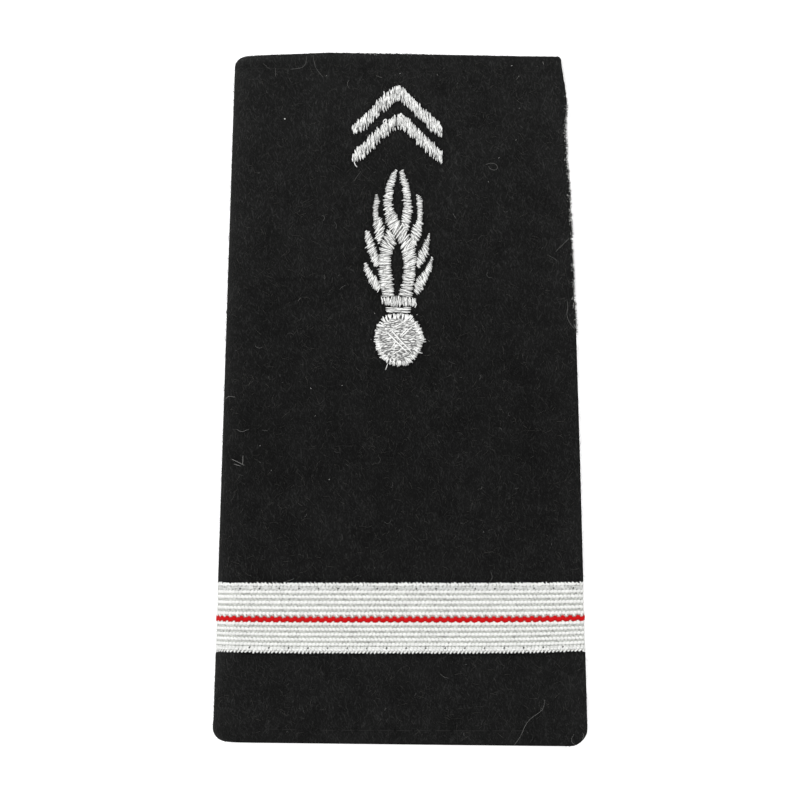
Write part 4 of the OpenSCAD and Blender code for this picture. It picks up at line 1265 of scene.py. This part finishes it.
# Single fibres: tone, girth, then the places that the fibre passes, in mm
FIBRES = [
    (0.28, 0.85, [(20.45, -42.4), (20.35, -43.8), (18.27, -45.2), (17.55, -46.3), (17.24, -47.3),
                  (16.6, -48.3), (16.1, -48.9)]),
    (0.28, 0.77, [(22.0, 20.9), (23.0, 21.9), (24.0, 22.9)]),
    (0.3, 0.77, [(25.86, -47.15), (26.0, -47.5), (25.75, -48.0)]),
    (0.28, 0.77, [(23.64, 13.96), (23.77, 12.97), (23.5, 12.05), (23.97, 10.86), (24.7, 9.94)]),
    (0.25, 0.77, [(24.6, -47.3), (24.2, -48.0), (24.4, -48.7), (25.2, -48.9)]),
    (0.2, 0.68, [(-13.2, 48.6), (-13.3, 47.4), (-13.8, 46.9), (-15.5, 46.7)]),
    (0.2, 0.68, [(-12.3, 48.7), (-12.1, 47.5), (-11.9, 46.8), (-10.9, 45.6)]),
    (0.23, 0.68, [(-19.3, 47.5), (-18.4, 46.7)]), (0.2, 0.68, [(-17.6, 46.9), (-17.6, 45.7)]),
    (0.23, 0.77, [(-3.4, 45.8), (-2.5, 45.5)]), (0.4, 1.1, [(20.2, 47.8), (20.3, 47.4)]),
    (0.28, 0.77, [(12.1, 33.2), (12.8, 33.5), (13.6, 33.3), (13.9, 32.7), (13.4, 32.4), (12.7, 32.6),
                  (12.5, 33.0)]),
    (0.25, 0.77, [(7.5, 26.3), (7.7, 25.9), (7.9, 25.6)]),
    (0.3, 0.77, [(-17.7, -25.6), (-17.3, -25.9), (-17, -25.9)]),
    (0.3, 0.85, [(-16.2, -25.7), (-15.6, -25.6), (-15, -25.3)]),
    (0.45, 1.1, [(-23.8, -8.4), (-22.8, -8.9), (-22.0, -9.3)]), (0.45, 1.1, [(-23.5, -9.1), (-22.55, -9.4)]),
    (0.45, 1.1, [(-22.2, -7.9), (-22.25, -9.2)]), (0.35, 0.85, [(-24.7, 0.1), (-24.2, 0.5), (-23.3, 0.35)]),
    (0.3, 0.85, [(-23.1, -4.2), (-22.4, -4.6), (-21.4, -4.2)]), (0.2, 0.68, [(-19.5, -4.3), (-18.7, -4.4)]),
    (0.2, 0.68, [(12.8, -24.2), (13.1, -25.2), (12.4, -26.1)]),
    (0.2, 0.68, [(-5.6, 32.2), (-6.5, 30.9)]),
]
# Specks of dust: place in mm, tone, girth
SPECKS = [(-16.3, 39.7, 1.0, 4.2), (-10.4, 45.8, 0.48, 1.2), (0, 46.1, 0.56, 1.35), (5.3, 45.9, 0.4, 1.12),
          (15.8, 47.2, 0.8, 1.65), (16.8, 45.7, 0.48, 1.2), (14, 34.2, 0.56, 1.2), (12.5, 30.8, 0.48, 1.2),
          (16.9, 41.2, 0.48, 1.05), (16.4, 36.7, 0.48, 1.05), (-3.6, 12.2, 0.56, 1.35),
          (2.4, 12.0, 0.72, 1.35), (-4.1, 8.5, 0.48, 1.2), (4.1, 8.3, 0.56, 1.2),
          (-12.6, 1.6, 0.8, 1.65), (-8.2, 2.0, 0.64, 1.35),
          (-12, -2.3, 0.45, 1.2), (-19.8, -6.5, 0.64, 1.35), (-18.2, -10.0, 0.48, 1.12),
          (-10, -11.3, 0.8, 1.65), (11.8, -18.7, 0.4, 1.05)]
SPECK_L, LINT_UP = 0.09, 0.05  # mm, half a speck's length, how high it all lies over the felt
STRAY_N, PALE_N = 120, 190  # stray fibres over the front, pale ones at the frayed edges
lint = ThreadGuide()


def lay_fibre(path, shade, fat, height):
    """A fibre that lies on the front, smoothed through its places."""
    path = np.asarray(path, float)
    if len(path) > 2:
        gone = distances(path)
        path = smooth(resample(path, gone, np.linspace(0, gone[-1], 4 * len(path))), 3)
    arch = LINT_UP + height * np.sin(math.pi * np.linspace(0, 1, len(path)))
    lint.add([(x, y, felt_top(x, y) + up) for (x, y), up in zip(path, arch)], 0.0, shade, fat)


for shade, fat, path in FIBRES:
    lay_fibre(path, shade, fat, 0.15)
for x, y, shade, fat in SPECKS:
    a = dice.uniform(0, math.tau)
    lay_fibre([(x + e * math.cos(a), y + e * math.sin(a)) for e in (-SPECK_L, SPECK_L)], shade, fat, 0.0)
for _ in range(STRAY_N):
    x, y = dice.uniform(-24, 24), dice.uniform(-48, 48)
    if bare(x, y) and abs(x) < abs(edges(y)[0]) - 1:
        a, bend = dice.uniform(0, math.tau), dice.normal(0, 0.8)
        length = dice.uniform(0.15, 0.6) if dice.uniform() < 0.7 else dice.uniform(0.6, 1.6)
        steps = [(x, y)]
        for _ in range(3):
            a += bend
            steps.append((steps[-1][0] + length / 3 * math.cos(a), steps[-1][1] + length / 3 * math.sin(a)))
        lay_fibre(steps, dice.uniform(0, 0.2), dice.uniform(0.7, 1.0), 0.1)
# Pale wool shows where the edges are frayed: along the raw edge and in the middle of the narrow end
raw_line = felt_points[:, 0]
for _ in range(PALE_N):
    if dice.uniform() < 0.9:
        y = dice.uniform(TORN_FROM, TORN_TO + 1)
        x, a = np.interp(y, raw_line[:, 1], raw_line[:, 0]) - dice.uniform(-0.1, 0.32), dice.normal(0, 0.9)
    else:
        x, y, a = dice.uniform(-5.3, 3.0), 48.98 - dice.uniform(0.05, 0.35), dice.normal(math.pi / 2, 0.8)
    length = dice.uniform(0.12, 0.34)
    lay_fibre([(x, y), (x + length * math.cos(a), y + length * math.sin(a))], dice.uniform(0.35, 0.9),
              dice.uniform(0.8, 1.3), 0.0)
lint.grow("lint", lint_pale, "felt", 0.022, Points=12, Sides=4, Flatness=2.0, Wander=0.00006, Taper=0.3)
